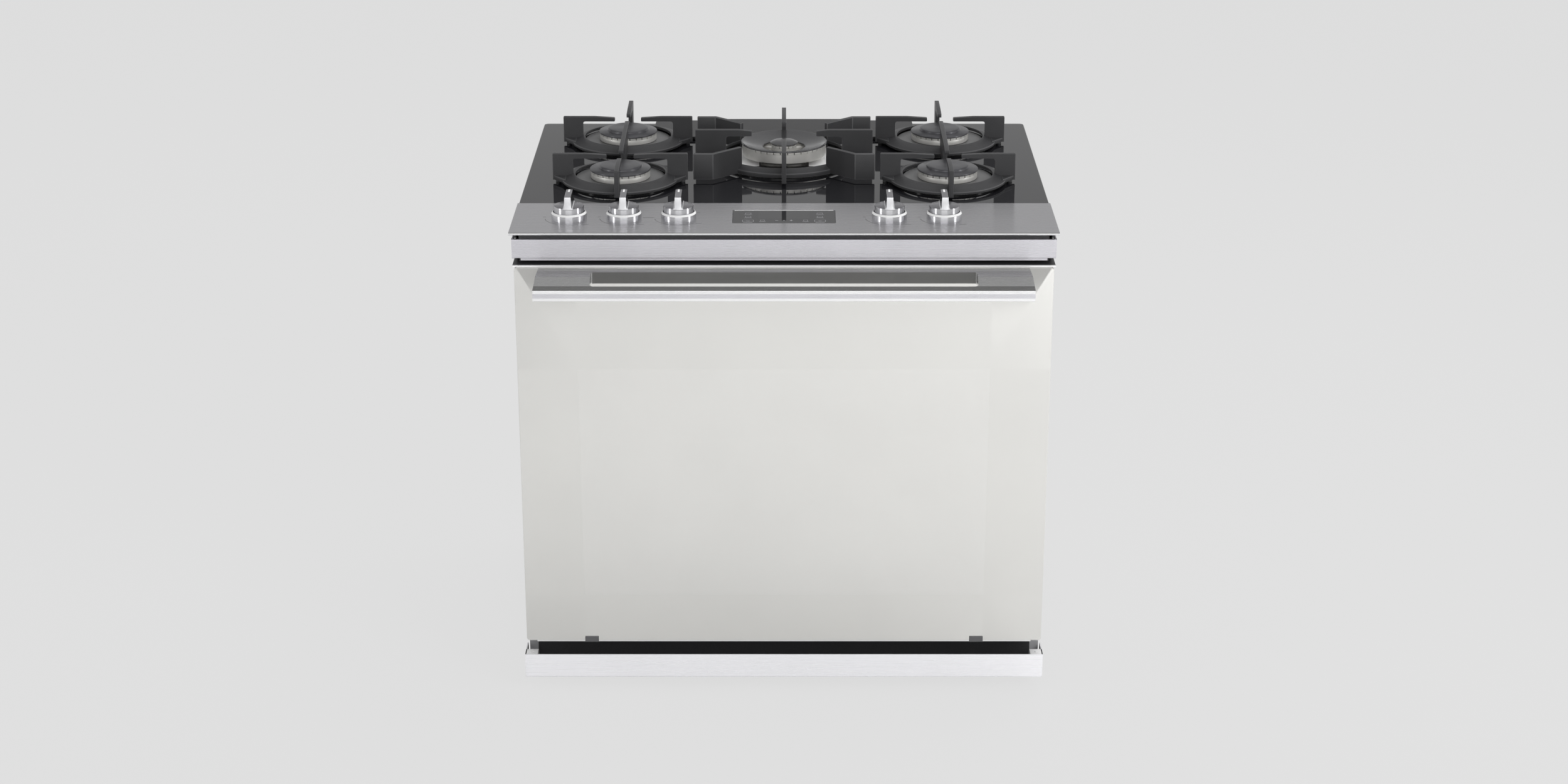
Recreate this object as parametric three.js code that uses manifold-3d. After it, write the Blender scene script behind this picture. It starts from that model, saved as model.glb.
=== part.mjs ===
// Freestanding gas range, 30 inches wide: five sealed burners under cast grates on a glass cooktop,
// a push-to-turn knob for each burner, and an oven behind a drop-down glass door.
// Millimetres, +Z up, +X to the cook's right, the door towards -Y. The pieces are drawn from the
// floor up, with y = 0 at the door's outer face, and the group at the end moves them so that the
// origin is on the floor under the middle of the range.
import * as THREE from 'three';
import { mergeVertices } from 'three/addons/utils/BufferGeometryUtils.js';
import Module from 'manifold-3d';

const wasm = await Module();
wasm.setup();

// ---- Driving dimensions ----------------------------------------------------------------------

// Clearances
const SEAT = 0.3; // between a piece and what it rests on
const SLIP = 0.3; // around a shaft, pin or pane in its hole

// Outline of the range
const COOKTOP_WIDTH = 762;
const COOKTOP_DEPTH = 593.5;
const COOKTOP_HEIGHT = 705;
const SIDE_OVERHANG = 6; // of the cooktop past the cabinet
const REAR_OVERHANG = 13.5; // of the cooktop past the back panel
const FOOT_HEIGHT = 25;
const SHEET = 1.2;
const TRAY_LIP = 16;
const SHELF_DEPTH = 3.5;
const BITE = 0.2; // by which pressed and welded-on details run into their sheet
const SLACK = 0.002; // by which a face may move so that needless corners go

// Back panel
const VENT_SLOTS = 8;
const VENT_SLOT_PITCH = 60;
const VENT_SLOT_LENGTH = 40;
const VENT_SLOT_OPENING = 6;
const VENT_SLOT_DROP = 99; // below the cooktop
const BEAD_X = 200;
const BEAD_WIDTH = 16;
const BEAD_CORNER = 5;
const BEAD_BOTTOM = 140;
const BEAD_TOP_DROP = 145;
const BEAD_RELIEF = 1.6;
const TERMINAL_WIDTH = 60;
const TERMINAL_BOTTOM = 60;
const TERMINAL_HEIGHT = 40;
const TERMINAL_DEPTH = 11;
const MAINS_RADIUS = 9;

// Cooktop, control panel and trim
const GLASS = 6;
const GLASS_INSET = 2;
const GLASS_CORNER = 8;
const PANEL_DEPTH = 146;
const PANEL_SHEET = 1.5;
const PANEL_NOSE = 4;
const PANEL_HEM = 18;
const TRIM_FRONT = 8;
const TRIM_TOP_DROP = 12;
const TRIM_HEIGHT = 27.3;
const TRIM_RETURN = 3;
const TRIM_LIP = 3.7;
const TRIM_LIP_INSET = 12;
const TRIM_INSET = 3; // at each end of the cooktop
const TOUCH_WIDTH = 145;
const TOUCH_DEPTH = 66.5;
const TOUCH_CENTRE_Y = 79.5;
const TOUCH_CORNER = 3;
const TOUCH_SINK = 0.4;
const TOUCH_RIM = 9;
const TOUCH_HOUSING = 20;

// Rear vent and its flue
const VENT_WIDTH = 412;
const VENT_DEPTH = 43.5;
const VENT_HEIGHT = 5.6;
const VENT_TAPER = 4;
const VENT_REAR_WALL = 12; // behind its chamber, opened by the grille's slots
const GRILLE_WIDTH = 220;
const GRILLE_RISE = 2.1;
const GRILLE_SLOTS = 8;
const GRILLE_SLOT_WIDTH = 20;
const GRILLE_PITCH = 24;
const FLUE_WIDTH = 200;
const FLUE_DEPTH = 22;
const FLUE_ROOM = 1.5; // round the duct in the glass
const FLUE_HEIGHT = 26;
const FLUE_DROP = 4; // of its mouth below the cavity's top
const FLUE_CORNER = 4;
const FLUE_SETBACK = 41.5; // of the duct's front from the cooktop's rear edge

// Knobs and gas valves
const KNOB_ROW_Y = 72;
const KNOB_XS = [-302, -225, -148, 148, 225];
const KNOB_RADIUS = 21.7;
const KNOB_BOTTOM = 4;
const KNOB_DISC_TOP = 16.6;
const KNOB_HEIGHT = 36;
const BLADE_WIDTH = 10.7;
const BLADE_FOOT_WIDTH = 14.5;
const BLADE_FILLET = 4.5;
const BLADE_EDGE = 0.8;
const KNOB_SOCKET_DEPTH = 17;
const BEZEL_RADIUS = 25;
const BEZEL_HEIGHT = 7.4;
const BEZEL_BEVEL = 1.6;
const BEZEL_CLEARANCE = 0.7;
const KNOB_TRAVEL = 3;
const STEM_RADIUS = 3.9;
const STEM_COLLAR = 6.5;
const STEM_COLLAR_GAP = 0.8; // left under the collar when the knob is pressed
const VALVE_WIDTH = 24;
const VALVE_DEPTH = 28;
const VALVE_HEIGHT = 26;
const BONNET_RADIUS = 9;
const BONNET_HEIGHT = 8;
const VALVE_DROP = 33; // top of a valve's body below the cooktop
const RAIL_RADIUS = 10;
const RAIL_ROOM = 3.8; // under the rail
const RAIL_END = 20;
const FEED_INSET = 45; // of the feed pipe, the feet and the door hinges from the side of the cabinet
const FEED_RADIUS = 8;
const FEED_NUT = 5;
const TUBE_RADIUS = 3.2;
const TUBE_DROP = 8; // below the valve's top
const TUBE_LEAD = 24;
const TUBE_SIDESTEP = 40;
const TUBE_DETOUR = 62;
const RAIL_BRACKET_X = 186;
const RAIL_BRACKET = 18;
const JET_POST_RADIUS = 8;
const BAKE_FEED_SETBACK = 18; // of its riser from the back panel
const BAKE_FEED_RADIUS = 5;

// Burner box under the cooktop
const BOX_INSET = 7; // from the side of the cabinet
const BOX_FRONT = 14;
const BOX_SHELF_DROP = 45; // below the cooktop
const BOX_FLUE_ROOM = 6; // between the box and the flue
const BRIDGE_WIDTH = 24;
const BRIDGE_DROP = 18;

// Corner burners
const CORNER_X = 240;
const REAR_BURNER_SETBACK = 122; // from the cooktop's rear edge
const BURNER_SPACING = 214; // from front to rear
const HEAD_RADIUS = 44.5;
const HEAD_WALL = 6;
const HEAD_HEIGHT = 10.7;
const THROAT_RADIUS = 16;
const THROAT_DROP = 24;
const THROAT_CLEARANCE = 14;
const PORTS = 14;
const PORT_WIDTH = 2.2;
const PORT_HEIGHT = 4.5;
const CAP_OVERHANG = 1.1;
const CAP_EDGE = 2.8;
const CAP_BOSS_RADIUS = 31.1;
const CAP_TOP = 26.5;
const BOWL_RADIUS = 80.5;
const BOWL_SHELF_RADIUS = 66;
const BOWL_RISE = 8;
const BOWL_SHEET = 1.5;
const BOWL_COLLAR = 8;
const BOWL_ROOM = 1.2;

// Centre burner
const CROWN_RADIUS = 63;
const CROWN_BOTTOM = 14;
const CROWN_TOP = 31;
const CROWN_BORE = 35;
const CROWN_WALL = 5;
const CROWN_FLOOR = 4;
const CROWN_PORTS = 16;
const CROWN_CAP_OVERHANG = 1.5;
const CROWN_CAP_TOP = 34;
const CROWN_CAP_LIP = 31.5;
const CROWN_CAP_DISH = 25.5;
const CROWN_CAP_SHEET = 2.8;
const INNER_RADIUS = 18.8;
const INNER_TOP = 30;
const INNER_BORE = 12;
const INNER_PORTS = 8;
const INNER_CAP_OVERHANG = 3;
const INNER_CAP_TOP = 35;
const BRIDGE_RIBS = 3;
const BRIDGE_RIB_WIDTH = 9;
const BRIDGE_RIB_HEIGHT = 7;
const CENTRE_BOWL_RADIUS = 100.5;
const CENTRE_BOWL_SHELF = 84;

// Cast grates
const BAR = 6.5;
const GRATE_CLEARANCE = 4;
const PAD_RADIUS = 4;
const RING_OUTER = 86;
const RING_INNER = 66;
const RING_EDGE = 8;
const RING_CREST = 14.6;
const RING_SKIN = 4.6;
const ARM_OUTER = 99;
const ARM_PLATE = 30;
const ARM_TIP = 20;
const ARM_TOP = 43.5;
const ARM_FINGER = 7.5;
const ARM_TIP_DROP = 2;
const ARM_SHOULDER = 18;
const ARM_FILLET = 3;
const EAR = 11;
const EAR_WIDTH = 52;
const EAR_ROOT = 7;
const CENTRE_RING_OUTER = 103;
const CENTRE_RING_INNER = 93;
const CENTRE_RING_EDGE = 10.3;
const CENTRE_RING_CREST = 17;
const CENTRE_ARM_OUTER = 133;
const CENTRE_ARM_PLATE = 46;
const CENTRE_ARM_TIP = 48.5;
const CENTRE_ARM_TOP = 51;
const CENTRE_ARM_FINGER = 10;
const CORNER_PLATE_KINK = 104;
const CORNER_PLATE_TOP = 43;

// Oven
const OVEN_WALL = 75; // from the cavity to the side of the cabinet
const OVEN_FLOOR_RISE = 105; // from the cabinet's base to the cavity
const OVEN_ROOF = 115; // from the cavity to the cooktop
const OVEN_REAR_SPACE = 90; // from the cavity to the back panel
const CAVITY_CORNER = 15;
const LINER_FLANGE = 12;
const FRAME_SHEET = 1.6;
const FRAME_TOP_DROP = 49; // below the cooktop
const FRAME_RETURN = 18;
const SIDE_FLANGE = 13;
const OVEN_FLOOR_HEIGHT = 22;
const FLOOR_GAP = 3;
const FLOOR_SETBACK = 9;
const FLOOR_SLOTS = 4;
const FLOOR_SLOT_WIDTH = 10;
const FLOOR_SLOT_INSET = 30;
const FLOOR_SLOT_MARGIN = 40;
const BAKE_RADIUS = 8;
const BAKE_WALL = 1.5;
const BAKE_SETBACK = 49;
const BAKE_TAIL = 46; // behind the cavity
const BAKE_PORTS = 4;
const BAKE_STAND = 12;
const BAKE_STAND_SETBACK = 20;
const LAMP_INSET = 90; // from the cavity's side
const LAMP_DROP = 50; // below its top
const LAMP_RADIUS = 20;
const LAMP_FLANGE = 7;
const LAMP_RIM = 3;
const LAMP_DOME = 12;
const LAMP_HOLDER = 26;
const WRAP = 36;
const WRAP_BELOW = 28;
const WRAP_HEADROOM = 5.5; // between the wool and the burner box
const WRAP_CORNER = 20;
const WRAP_FRONT = 80;
const GASKET_WIDTH = 10;
const GASKET_LAP = 1;
const RACK_LEVELS = 5;
const RACK_PITCH = 69;
const LOWEST_RACK = 41; // above the cavity's bottom
const RAIL_DEPTH = 25;
const RAIL_THICKNESS = 9;
const RAIL_LIP = 3;
const RAIL_FRONT = 60;
const RAIL_REAR_GAP = 10;

// Oven racks
const RACK_SIDE_GAP = 17; // from a side rod's middle to the cavity's wall
const RACK_FRONT = 52;
const RACK_REAR_GAP = 14;
const RACK_ROD = 3;
const RACK_WIRE = 1.8;
const RACK_WIRE_SINK = 0.8; // into the frame's rods, where they are welded
const RACK_WIRES = 10;
const RACK_WIRE_PITCH = 53;
const RACK_BRACE = 1.5;
const RACK_BRACE_Y = 232;
const UPPER_RACK_LEVEL = 3;
const LOWER_RACK_LEVEL = 1;

// Door
const DOOR_BOTTOM = 84.5;
const DOOR_TOP_DROP = 47.5; // below the cooktop
const DOOR_GLASS = 4;
const DOOR_CORNER = 5;
const DOOR_DEPTH = 38;
const DOOR_SHEET = 2;
const PAN_INSET = 1.5; // of the pan behind the glass's side edges
const DOOR_TRIM = 1.8;
const DOOR_TRIM_OVERHANG = 2;
const DOOR_GAP = 3; // between the door and the cabinet, closed by the seal
const WINDOW_INSET = 85; // from the door's side
const WINDOW_RISE = 72.5; // from its bottom
const WINDOW_TOP_DROP = 152.5; // from its top
const WINDOW_RIM = 14;
const INNER_PANE = 4;
const PANE_CORNER = 2;
const INNER_PANE_INSET = 8; // from the door's inner face
const PANE_LAP = 9;
const CLIP_INSET = 95; // from the door's side
const CLIP_WIDTH = 19.5;
const CLIP_HEIGHT = 6.5;
const CLIP_PROUD = 1.5; // in front of the glass and below the door
const CLIP_FOOT = 4;
const SERVICE_TAB_X = 236;
const SERVICE_TAB_WIDTH = 16;
const SERVICE_TAB_HEIGHT = 12;
const SERVICE_TAB_DEPTH = 3;

// Door hinges
const HINGE_RISE = 20.5; // above the door's bottom edge
const HINGE_CLEARANCE = 0.5; // between the open door's bottom edge and the cabinet
const HINGE_ARM = 7;
const HINGE_SLOT = 9;
const HINGE_PIN = 4;
const HINGE_EYE = 10;
const HINGE_HOOK = 5;
const HINGE_ARM_HEIGHT = 14;
const HINGE_ARM_REACH = 29; // behind the cabinet's front
const RECEIVER_WALL = 2;

// Door handle
const HANDLE_INSET = 30; // from the door's side
const HANDLE_REACH = 58;
const HANDLE_TOP_DROP = 3.5; // below the door's top
const HANDLE_FRONT_HEIGHT = 15.7;
const HANDLE_FRONT_DROP = 14.2;
const HANDLE_ROOT = 18;
const HANDLE_EDGE = 3;
const HANDLE_TAPER = 4;
const GRIP_INSET = 78; // from the handle's end
const GRIP_CORNER = 4;
const GRIP_RAIL = 16;
const GRIP_BAR = 20;

// Kick strip and feet
const KICK_INSET = 2.5; // at each end of the cooktop
const KICK_BOTTOM = 25.1;
const KICK_HEIGHT = 36.6;
const KICK_SHEET = 1.5;
const KICK_TAB = 18;
const KICK_TAB_HOLE = 1.6;
const KICK_TAB_INSET = 8;
const FRONT_FOOT_SETBACK = 79; // from the cabinet's front
const REAR_FOOT_SETBACK = 60; // from the back panel
const FOOT_RADIUS = 19;
const FOOT_STEM = 6;
const FOOT_PAD_HEIGHT = 9;

// How finely round things are faceted
const FACETS = 18;
const SMALL_FACETS = 14;
const SOCKET_FACETS = 10;
const SHAFT_FACETS = 8;
const BAR_FACETS = 6;
const WIRE_FACETS = 4;

// ---- Values worked out from them -------------------------------------------------------------

const halfBody = COOKTOP_WIDTH / 2 - SIDE_OVERHANG;
const bodyFront = DOOR_DEPTH + DOOR_GAP;
const bodyRear = COOKTOP_DEPTH - REAR_OVERHANG;
const flangePlane = halfBody - SIDE_FLANGE;
const footX = halfBody - FEED_INSET;
const frameTop = COOKTOP_HEIGHT - FRAME_TOP_DROP;
const frameRear = bodyFront + FRAME_SHEET;
const linerFront = frameRear + SEAT;
const glassUnderside = COOKTOP_HEIGHT - GLASS;
const valveTop = COOKTOP_HEIGHT - VALVE_DROP;
const railHeight = valveTop - VALVE_HEIGHT;
const bonnetTop = valveTop + BONNET_HEIGHT;
const stemFloor = railHeight + RAIL_RADIUS + 1;
const halfBox = halfBody - BOX_INSET;
const boxTop = glassUnderside - SEAT;
const boxShelf = COOKTOP_HEIGHT - BOX_SHELF_DROP;
const boxFloor = railHeight - RAIL_RADIUS - RAIL_ROOM - SHEET;
const flueFront = COOKTOP_DEPTH - FLUE_SETBACK;
const boxRear = flueFront - BOX_FLUE_ROOM;
const feedX = halfBody - FEED_INSET;
const bakeFeedY = bodyRear - BAKE_FEED_SETBACK;
const halfCavity = halfBody - OVEN_WALL;
const cavityBottom = FOOT_HEIGHT + OVEN_FLOOR_RISE;
const cavityTop = COOKTOP_HEIGHT - OVEN_ROOF;
const cavityRear = bodyRear - OVEN_REAR_SPACE;
const bakeHeight = cavityBottom + BAKE_RADIUS + 4;
const lampX = halfCavity - LAMP_INSET;
const lampHeight = cavityTop - LAMP_DROP;
const halfRack = halfCavity - RACK_SIDE_GAP;
const rackRear = cavityRear - RACK_REAR_GAP;
const halfDoor = halfBody;
const doorTop = COOKTOP_HEIGHT - DOOR_TOP_DROP;
const halfWindow = halfDoor - WINDOW_INSET;
const windowBottom = DOOR_BOTTOM + WINDOW_RISE;
const windowTop = doorTop - WINDOW_TOP_DROP;
const innerPane = DOOR_DEPTH - INNER_PANE_INSET;
const clipX = halfDoor - CLIP_INSET;
const hingeX = halfDoor - FEED_INSET;
const hingeHeight = DOOR_BOTTOM + HINGE_RISE;
const hingeY = bodyFront - HINGE_CLEARANCE - CLIP_PROUD - HINGE_RISE;
const hingeArmRear = bodyFront + HINGE_ARM_REACH;
const halfHandle = halfDoor - HANDLE_INSET;
const handleTop = doorTop - HANDLE_TOP_DROP;
const stemHole = STEM_RADIUS + SLIP;
const throatHole = THROAT_RADIUS + THROAT_CLEARANCE;
const frontGlass = DOOR_GLASS + SEAT;
const rearBurnerY = COOKTOP_DEPTH - REAR_BURNER_SETBACK;
const frontBurnerY = rearBurnerY - BURNER_SPACING;
const centreY = (rearBurnerY + frontBurnerY) / 2;
const headBottom = BOWL_RISE + SEAT;
const headTop = headBottom + HEAD_HEIGHT;
const burnerSpots = [
  ['left_front', -CORNER_X, frontBurnerY],
  ['left_rear', -CORNER_X, rearBurnerY],
  ['right_front', CORNER_X, frontBurnerY],
  ['right_rear', CORNER_X, rearBurnerY],
];

// ---- Shapes ----------------------------------------------------------------------------------

// A box between two values on each axis, in either order.
const block = (x0, x1, y0, y1, z0, z1) =>
  new THREE.BoxGeometry(Math.abs(x1 - x0), Math.abs(y1 - y0), Math.abs(z1 - z0))
    .translate((x0 + x1) / 2, (y0 + y1) / 2, (z0 + z1) / 2);

const outlineOf = (points) => new THREE.Shape(points.map(([u, v]) => new THREE.Vector2(u, v)));

// A rectangle with rounded corners, as an outline or, by class, as a hole in one.
function roundedRectangle(u0, u1, v0, v1, radius, Kind = THREE.Shape) {
  const path = new Kind();
  path.absarc(u1 - radius, v0 + radius, radius, -Math.PI / 2, 0);
  path.absarc(u1 - radius, v1 - radius, radius, 0, Math.PI / 2);
  path.absarc(u0 + radius, v1 - radius, radius, Math.PI / 2, Math.PI);
  path.absarc(u0 + radius, v0 + radius, radius, Math.PI, 1.5 * Math.PI);
  path.closePath();
  return path;
}

// A slot with pointed ends, about its middle.
function slotPath(u, v, length, height) {
  const [half, point] = [length / 2, height / 2];
  const corners = [
    [-half, 0], [point - half, -point], [half - point, -point],
    [half, 0], [half - point, point], [point - half, point],
  ];
  return new THREE.Path(corners.map(([du, dv]) => new THREE.Vector2(u + du, v + dv)));
}

function roundHole(u, v, radius, sides = SOCKET_FACETS) {
  const centre = new THREE.Vector2(u, v);
  const first = new THREE.Vector2(u + radius, v);
  const corner = (i) => first.clone().rotateAround(centre, (2 * Math.PI * i) / sides);
  return new THREE.Path(Array.from({ length: sides }, (_, i) => corner(i)));
}

// An outline pushed along an axis: along x it is drawn in (y, z), along y in (x, z), along z in (x, y).
const FRAMES = {
  x: (from) => new THREE.Matrix4().makeBasis(...[[0, 1, 0], [0, 0, 1], [1, 0, 0]].map(vector))
    .setPosition(from, 0, 0),
  y: (from, to) => new THREE.Matrix4().makeBasis(...[[1, 0, 0], [0, 0, 1], [0, -1, 0]].map(vector))
    .setPosition(0, to, 0),
  z: (from) => new THREE.Matrix4().setPosition(0, 0, from),
};

function vector([x, y, z]) {
  return new THREE.Vector3(x, y, z);
}

function along(axis, outline, from, to, curveSegments = 1) {
  const shape = Array.isArray(outline) ? outlineOf(outline) : outline;
  return new THREE.ExtrudeGeometry(shape, { depth: to - from, bevelEnabled: false, curveSegments })
    .applyMatrix4(FRAMES[axis](from, to));
}

// The outline of a folded sheet: the line of its outer face, thickened to the left of its run.
function folded(line, sheet) {
  const normals = line.slice(1).map(([u, v], i) => {
    const [du, dv] = [u - line[i][0], v - line[i][1]];
    const length = Math.hypot(du, dv);
    return [-dv / length, du / length];
  });
  const inner = line.map(([u, v], i) => {
    const a = normals[Math.max(i - 1, 0)];
    const b = normals[Math.min(i, normals.length - 1)];
    const reach = sheet / (1 + a[0] * b[0] + a[1] * b[1]);
    return [u + (a[0] + b[0]) * reach, v + (a[1] + b[1]) * reach];
  });
  return [...line, ...inner.reverse()];
}

// A profile in (radius, height) turned about the z axis. One that stays off the axis closes on itself.
function turned(profile, segments = FACETS) {
  const points = profile.map(([radius, height]) => new THREE.Vector2(radius, height));
  if (THREE.ShapeUtils.isClockWise(points)) points.reverse();
  if (points[0].x > 0 || points.at(-1).x > 0) points.push(points[0].clone());
  return new THREE.LatheGeometry(points, segments).rotateX(Math.PI / 2);
}

const rod = (radius, z0, z1, segments = FACETS) =>
  turned([[0, z0], [radius, z0], [radius, z1], [0, z1]], segments);

// A straight round bar between two points.
function bar(from, to, radius, segments = BAR_FACETS) {
  const [a, b] = [vector(from), vector(to)];
  const run = b.clone().sub(a);
  const turn = new THREE.Quaternion().setFromUnitVectors(vector([0, 0, 1]), run.clone().normalize());
  return rod(radius, 0, run.length(), segments).applyQuaternion(turn).translate(a.x, a.y, a.z);
}

// A pipe along straight runs, each carried on to the outside of the bend.
function pipe(points, radius, segments = BAR_FACETS) {
  const runs = points.slice(1).map((end, i) => {
    const [a, b] = [vector(points[i]), vector(end)];
    const step = b.clone().sub(a).setLength(radius);
    if (i > 0) a.sub(step);
    if (i < points.length - 2) b.add(step);
    return bar(a.toArray(), b.toArray(), radius, segments);
  });
  return join(...runs);
}

// The same piece in several places round the z axis.
const around = (count, make, start = 0) =>
  Array.from({ length: count }, (_, i) => make().rotateZ(start + (2 * Math.PI * i) / count));

const mirrored = (make) => [-1, 1].map(make);

// ---- Joining and cutting ---------------------------------------------------------------------

// Corners are rounded to a thousandth, so that faces meant to be flush are flush.
function solid(geometry) {
  const bare = geometry.clone();
  bare.deleteAttribute('normal');
  bare.deleteAttribute('uv');
  const position = bare.getAttribute('position');
  position.array.set(position.array.map((value) => Math.round(value * 1000) / 1000));
  const merged = mergeVertices(bare, 1e-4);
  return new wasm.Manifold(new wasm.Mesh({
    numProp: 3,
    vertProperties: merged.getAttribute('position').array,
    triVerts: new Uint32Array(merged.index.array),
  }));
}

function geometryOf(body) {
  const mesh = body.asOriginal().simplify(SLACK).getMesh();
  return new THREE.BufferGeometry()
    .setAttribute('position', new THREE.BufferAttribute(mesh.vertProperties, 3))
    .setIndex(new THREE.BufferAttribute(mesh.triVerts, 1));
}

const join = (first, ...rest) =>
  geometryOf(rest.reduce((body, piece) => body.add(solid(piece)), solid(first)));

const cut = (first, ...tools) =>
  geometryOf(tools.reduce((body, tool) => body.subtract(solid(tool)), solid(first)));

const common = (first, second) => geometryOf(solid(first).intersect(solid(second)));

// ---- Materials -------------------------------------------------------------------------------

function finish(color, roughness, metalness) {
  return new THREE.MeshStandardMaterial({ color, roughness, metalness });
}

const brushedSteel = () => finish(0xb9b9bd, 0.35, 1);
const polishedSteel = () => finish(0xd8d9dc, 0.12, 1);
const galvanised = () => finish(0xa9aaac, 0.5, 0.9);
const blackGlass = () => finish(0x17171a, 0.06, 0);
const castIron = () => finish(0x2b2b2c, 0.55, 0.2);
const burnerAlloy = () => finish(0x9b9a98, 0.4, 0.9);
const capEnamel = () => finish(0x47474b, 0.32, 0.3);
const greyEnamel = () => finish(0x3a3b3f, 0.3, 0.1);
const blackSteel = () => finish(0x202124, 0.45, 0.6);
const mirrorGlass = () => finish(0xd9d8d2, 0.08, 0.3);
const clearGlass = () => finish(0x8b9092, 0.05, 0);
const softBlack = () => finish(0x1c1c1c, 0.8, 0);
const brass = () => finish(0xb39a5c, 0.35, 0.9);
const wool = () => finish(0xd8c98f, 0.95, 0);

// ---- Cabinet ---------------------------------------------------------------------------------

// Shallow tray that carries the cabinet and takes the feet.
function basePan() {
  const edge = halfBody - SHEET - SEAT;
  const front = bodyFront + FRAME_RETURN + SHEET + SEAT;
  const rear = bodyRear - 2 * (SHEET + SEAT);
  const top = FOOT_HEIGHT + TRAY_LIP;
  const tray = block(-edge, edge, front, rear, FOOT_HEIGHT, top);
  const inside = edge - SHEET;
  return cut(tray, block(-inside, inside, front + SHEET, rear - SHEET, FOOT_HEIGHT + SHEET, top + 1));
}

// Side of the cabinet: a sheet folded in at the front, beside the oven's front frame, and at the rear.
function sidePanel(side) {
  const rear = bodyRear - SHEET - SEAT;
  const line = [
    [flangePlane + SEAT, bodyFront], [halfBody, bodyFront], [halfBody, rear], [halfBody - SIDE_FLANGE, rear],
  ];
  const outline = folded(line, SHEET).map(([x, y]) => [side * x, y]);
  const wall = along('z', outline, FOOT_HEIGHT, frameTop);
  const [inner, outer] = [side * (halfBody - SHEET), side * halfBody];
  const upper = block(inner, outer, bodyFront, rear, frameTop - 1, boxTop - SHEET - SEAT);
  return join(wall, upper);
}

// Rear of the cabinet, with its cooling slots, the hole for the gas pipe and the mains terminal block.
function backPanel() {
  const edge = halfBody - SHEET;
  const top = boxTop - SHEET;
  const face = bodyRear + BEAD_RELIEF;
  const shape = outlineOf([[-edge, FOOT_HEIGHT], [edge, FOOT_HEIGHT], [edge, top], [-edge, top]]);
  shape.holes.push(roundHole(feedX, railHeight, FEED_RADIUS + 2));
  for (let i = 0; i < VENT_SLOTS; i += 1) {
    const x = (i - (VENT_SLOTS - 1) / 2) * VENT_SLOT_PITCH;
    shape.holes.push(slotPath(x, COOKTOP_HEIGHT - VENT_SLOT_DROP, VENT_SLOT_LENGTH, VENT_SLOT_OPENING));
  }
  const sheet = along('y', shape, bodyRear - SHEET, bodyRear);
  const shelf = block(-edge, edge, bodyRear - SHELF_DEPTH, bodyRear, top, boxTop);
  const beads = mirrored((side) => {
    const [left, right] = [side * BEAD_X - BEAD_WIDTH / 2, side * BEAD_X + BEAD_WIDTH / 2];
    const outline = roundedRectangle(left, right, BEAD_BOTTOM, COOKTOP_HEIGHT - BEAD_TOP_DROP, BEAD_CORNER);
    return along('y', outline, bodyRear - BITE, face);
  });
  const terminalTop = TERMINAL_BOTTOM + TERMINAL_HEIGHT;
  const terminalEnd = bodyRear + TERMINAL_DEPTH;
  const terminal = block(-footX, TERMINAL_WIDTH - footX, bodyRear - BITE, terminalEnd, TERMINAL_BOTTOM,
    terminalTop);
  const mainsAt = (y) => [TERMINAL_WIDTH / 2 - footX, y, TERMINAL_BOTTOM + TERMINAL_HEIGHT / 2];
  const inlet = bar(mainsAt(bodyRear + 1), mainsAt(terminalEnd + 1), MAINS_RADIUS, SHAFT_FACETS);
  return cut(join(sheet, shelf, ...beads, terminal), inlet);
}

// Enamelled front of the cabinet round the oven's mouth, with a receiver behind it for each hinge arm.
function frontFrame() {
  const line = [[bodyFront, frameTop], [bodyFront, FOOT_HEIGHT], [bodyFront + FRAME_RETURN, FOOT_HEIGHT]];
  const face = along('x', folded(line, FRAME_SHEET), -flangePlane, flangePlane);
  const mouth = roundedRectangle(-halfCavity, halfCavity, cavityBottom, cavityTop, CAVITY_CORNER);
  const half = HINGE_ARM / 2 + 2;
  const wall = half + RECEIVER_WALL;
  const low = hingeHeight - HINGE_ARM_HEIGHT / 2 - 2 * SEAT;
  const high = hingeHeight + HINGE_ARM_HEIGHT / 2 + 2 * SEAT;
  const rear = hingeArmRear + 2 * RECEIVER_WALL;
  const receivers = mirrored((side) => block(side * hingeX - wall, side * hingeX + wall, frameRear - BITE,
    rear, low - RECEIVER_WALL, high + RECEIVER_WALL));
  const slots = mirrored((side) => block(side * hingeX - half, side * hingeX + half, bodyFront - 1, rear + 1,
    low, high));
  const body = join(face, ...receivers, ...mirrored(serviceTab));
  return cut(body, along('y', mouth, bodyFront - 1, frameRear + 1), ...slots);
}

// A tab with a screw hole that stands on the front frame in the gap below the door.
function serviceTab(side) {
  const x = side * SERVICE_TAB_X;
  const bottom = DOOR_BOTTOM - CLIP_FOOT - SERVICE_TAB_HEIGHT;
  const [front, rear] = [bodyFront - SERVICE_TAB_DEPTH, bodyFront + BITE];
  const plate = block(x - SERVICE_TAB_WIDTH / 2, x + SERVICE_TAB_WIDTH / 2, front, rear, bottom,
    bottom + SERVICE_TAB_HEIGHT);
  const hole = bottom + CLIP_FOOT;
  return cut(plate, bar([x, front - 1, hole], [x, rear + 1, hole], 2));
}

function foot() {
  return turned([
    [0, 0], [FOOT_RADIUS, 0], [FOOT_RADIUS, FOOT_PAD_HEIGHT - 3], [FOOT_RADIUS - 6, FOOT_PAD_HEIGHT],
    [FOOT_STEM, FOOT_PAD_HEIGHT], [FOOT_STEM, FOOT_HEIGHT - SEAT], [0, FOOT_HEIGHT - SEAT],
  ], SHAFT_FACETS);
}

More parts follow.
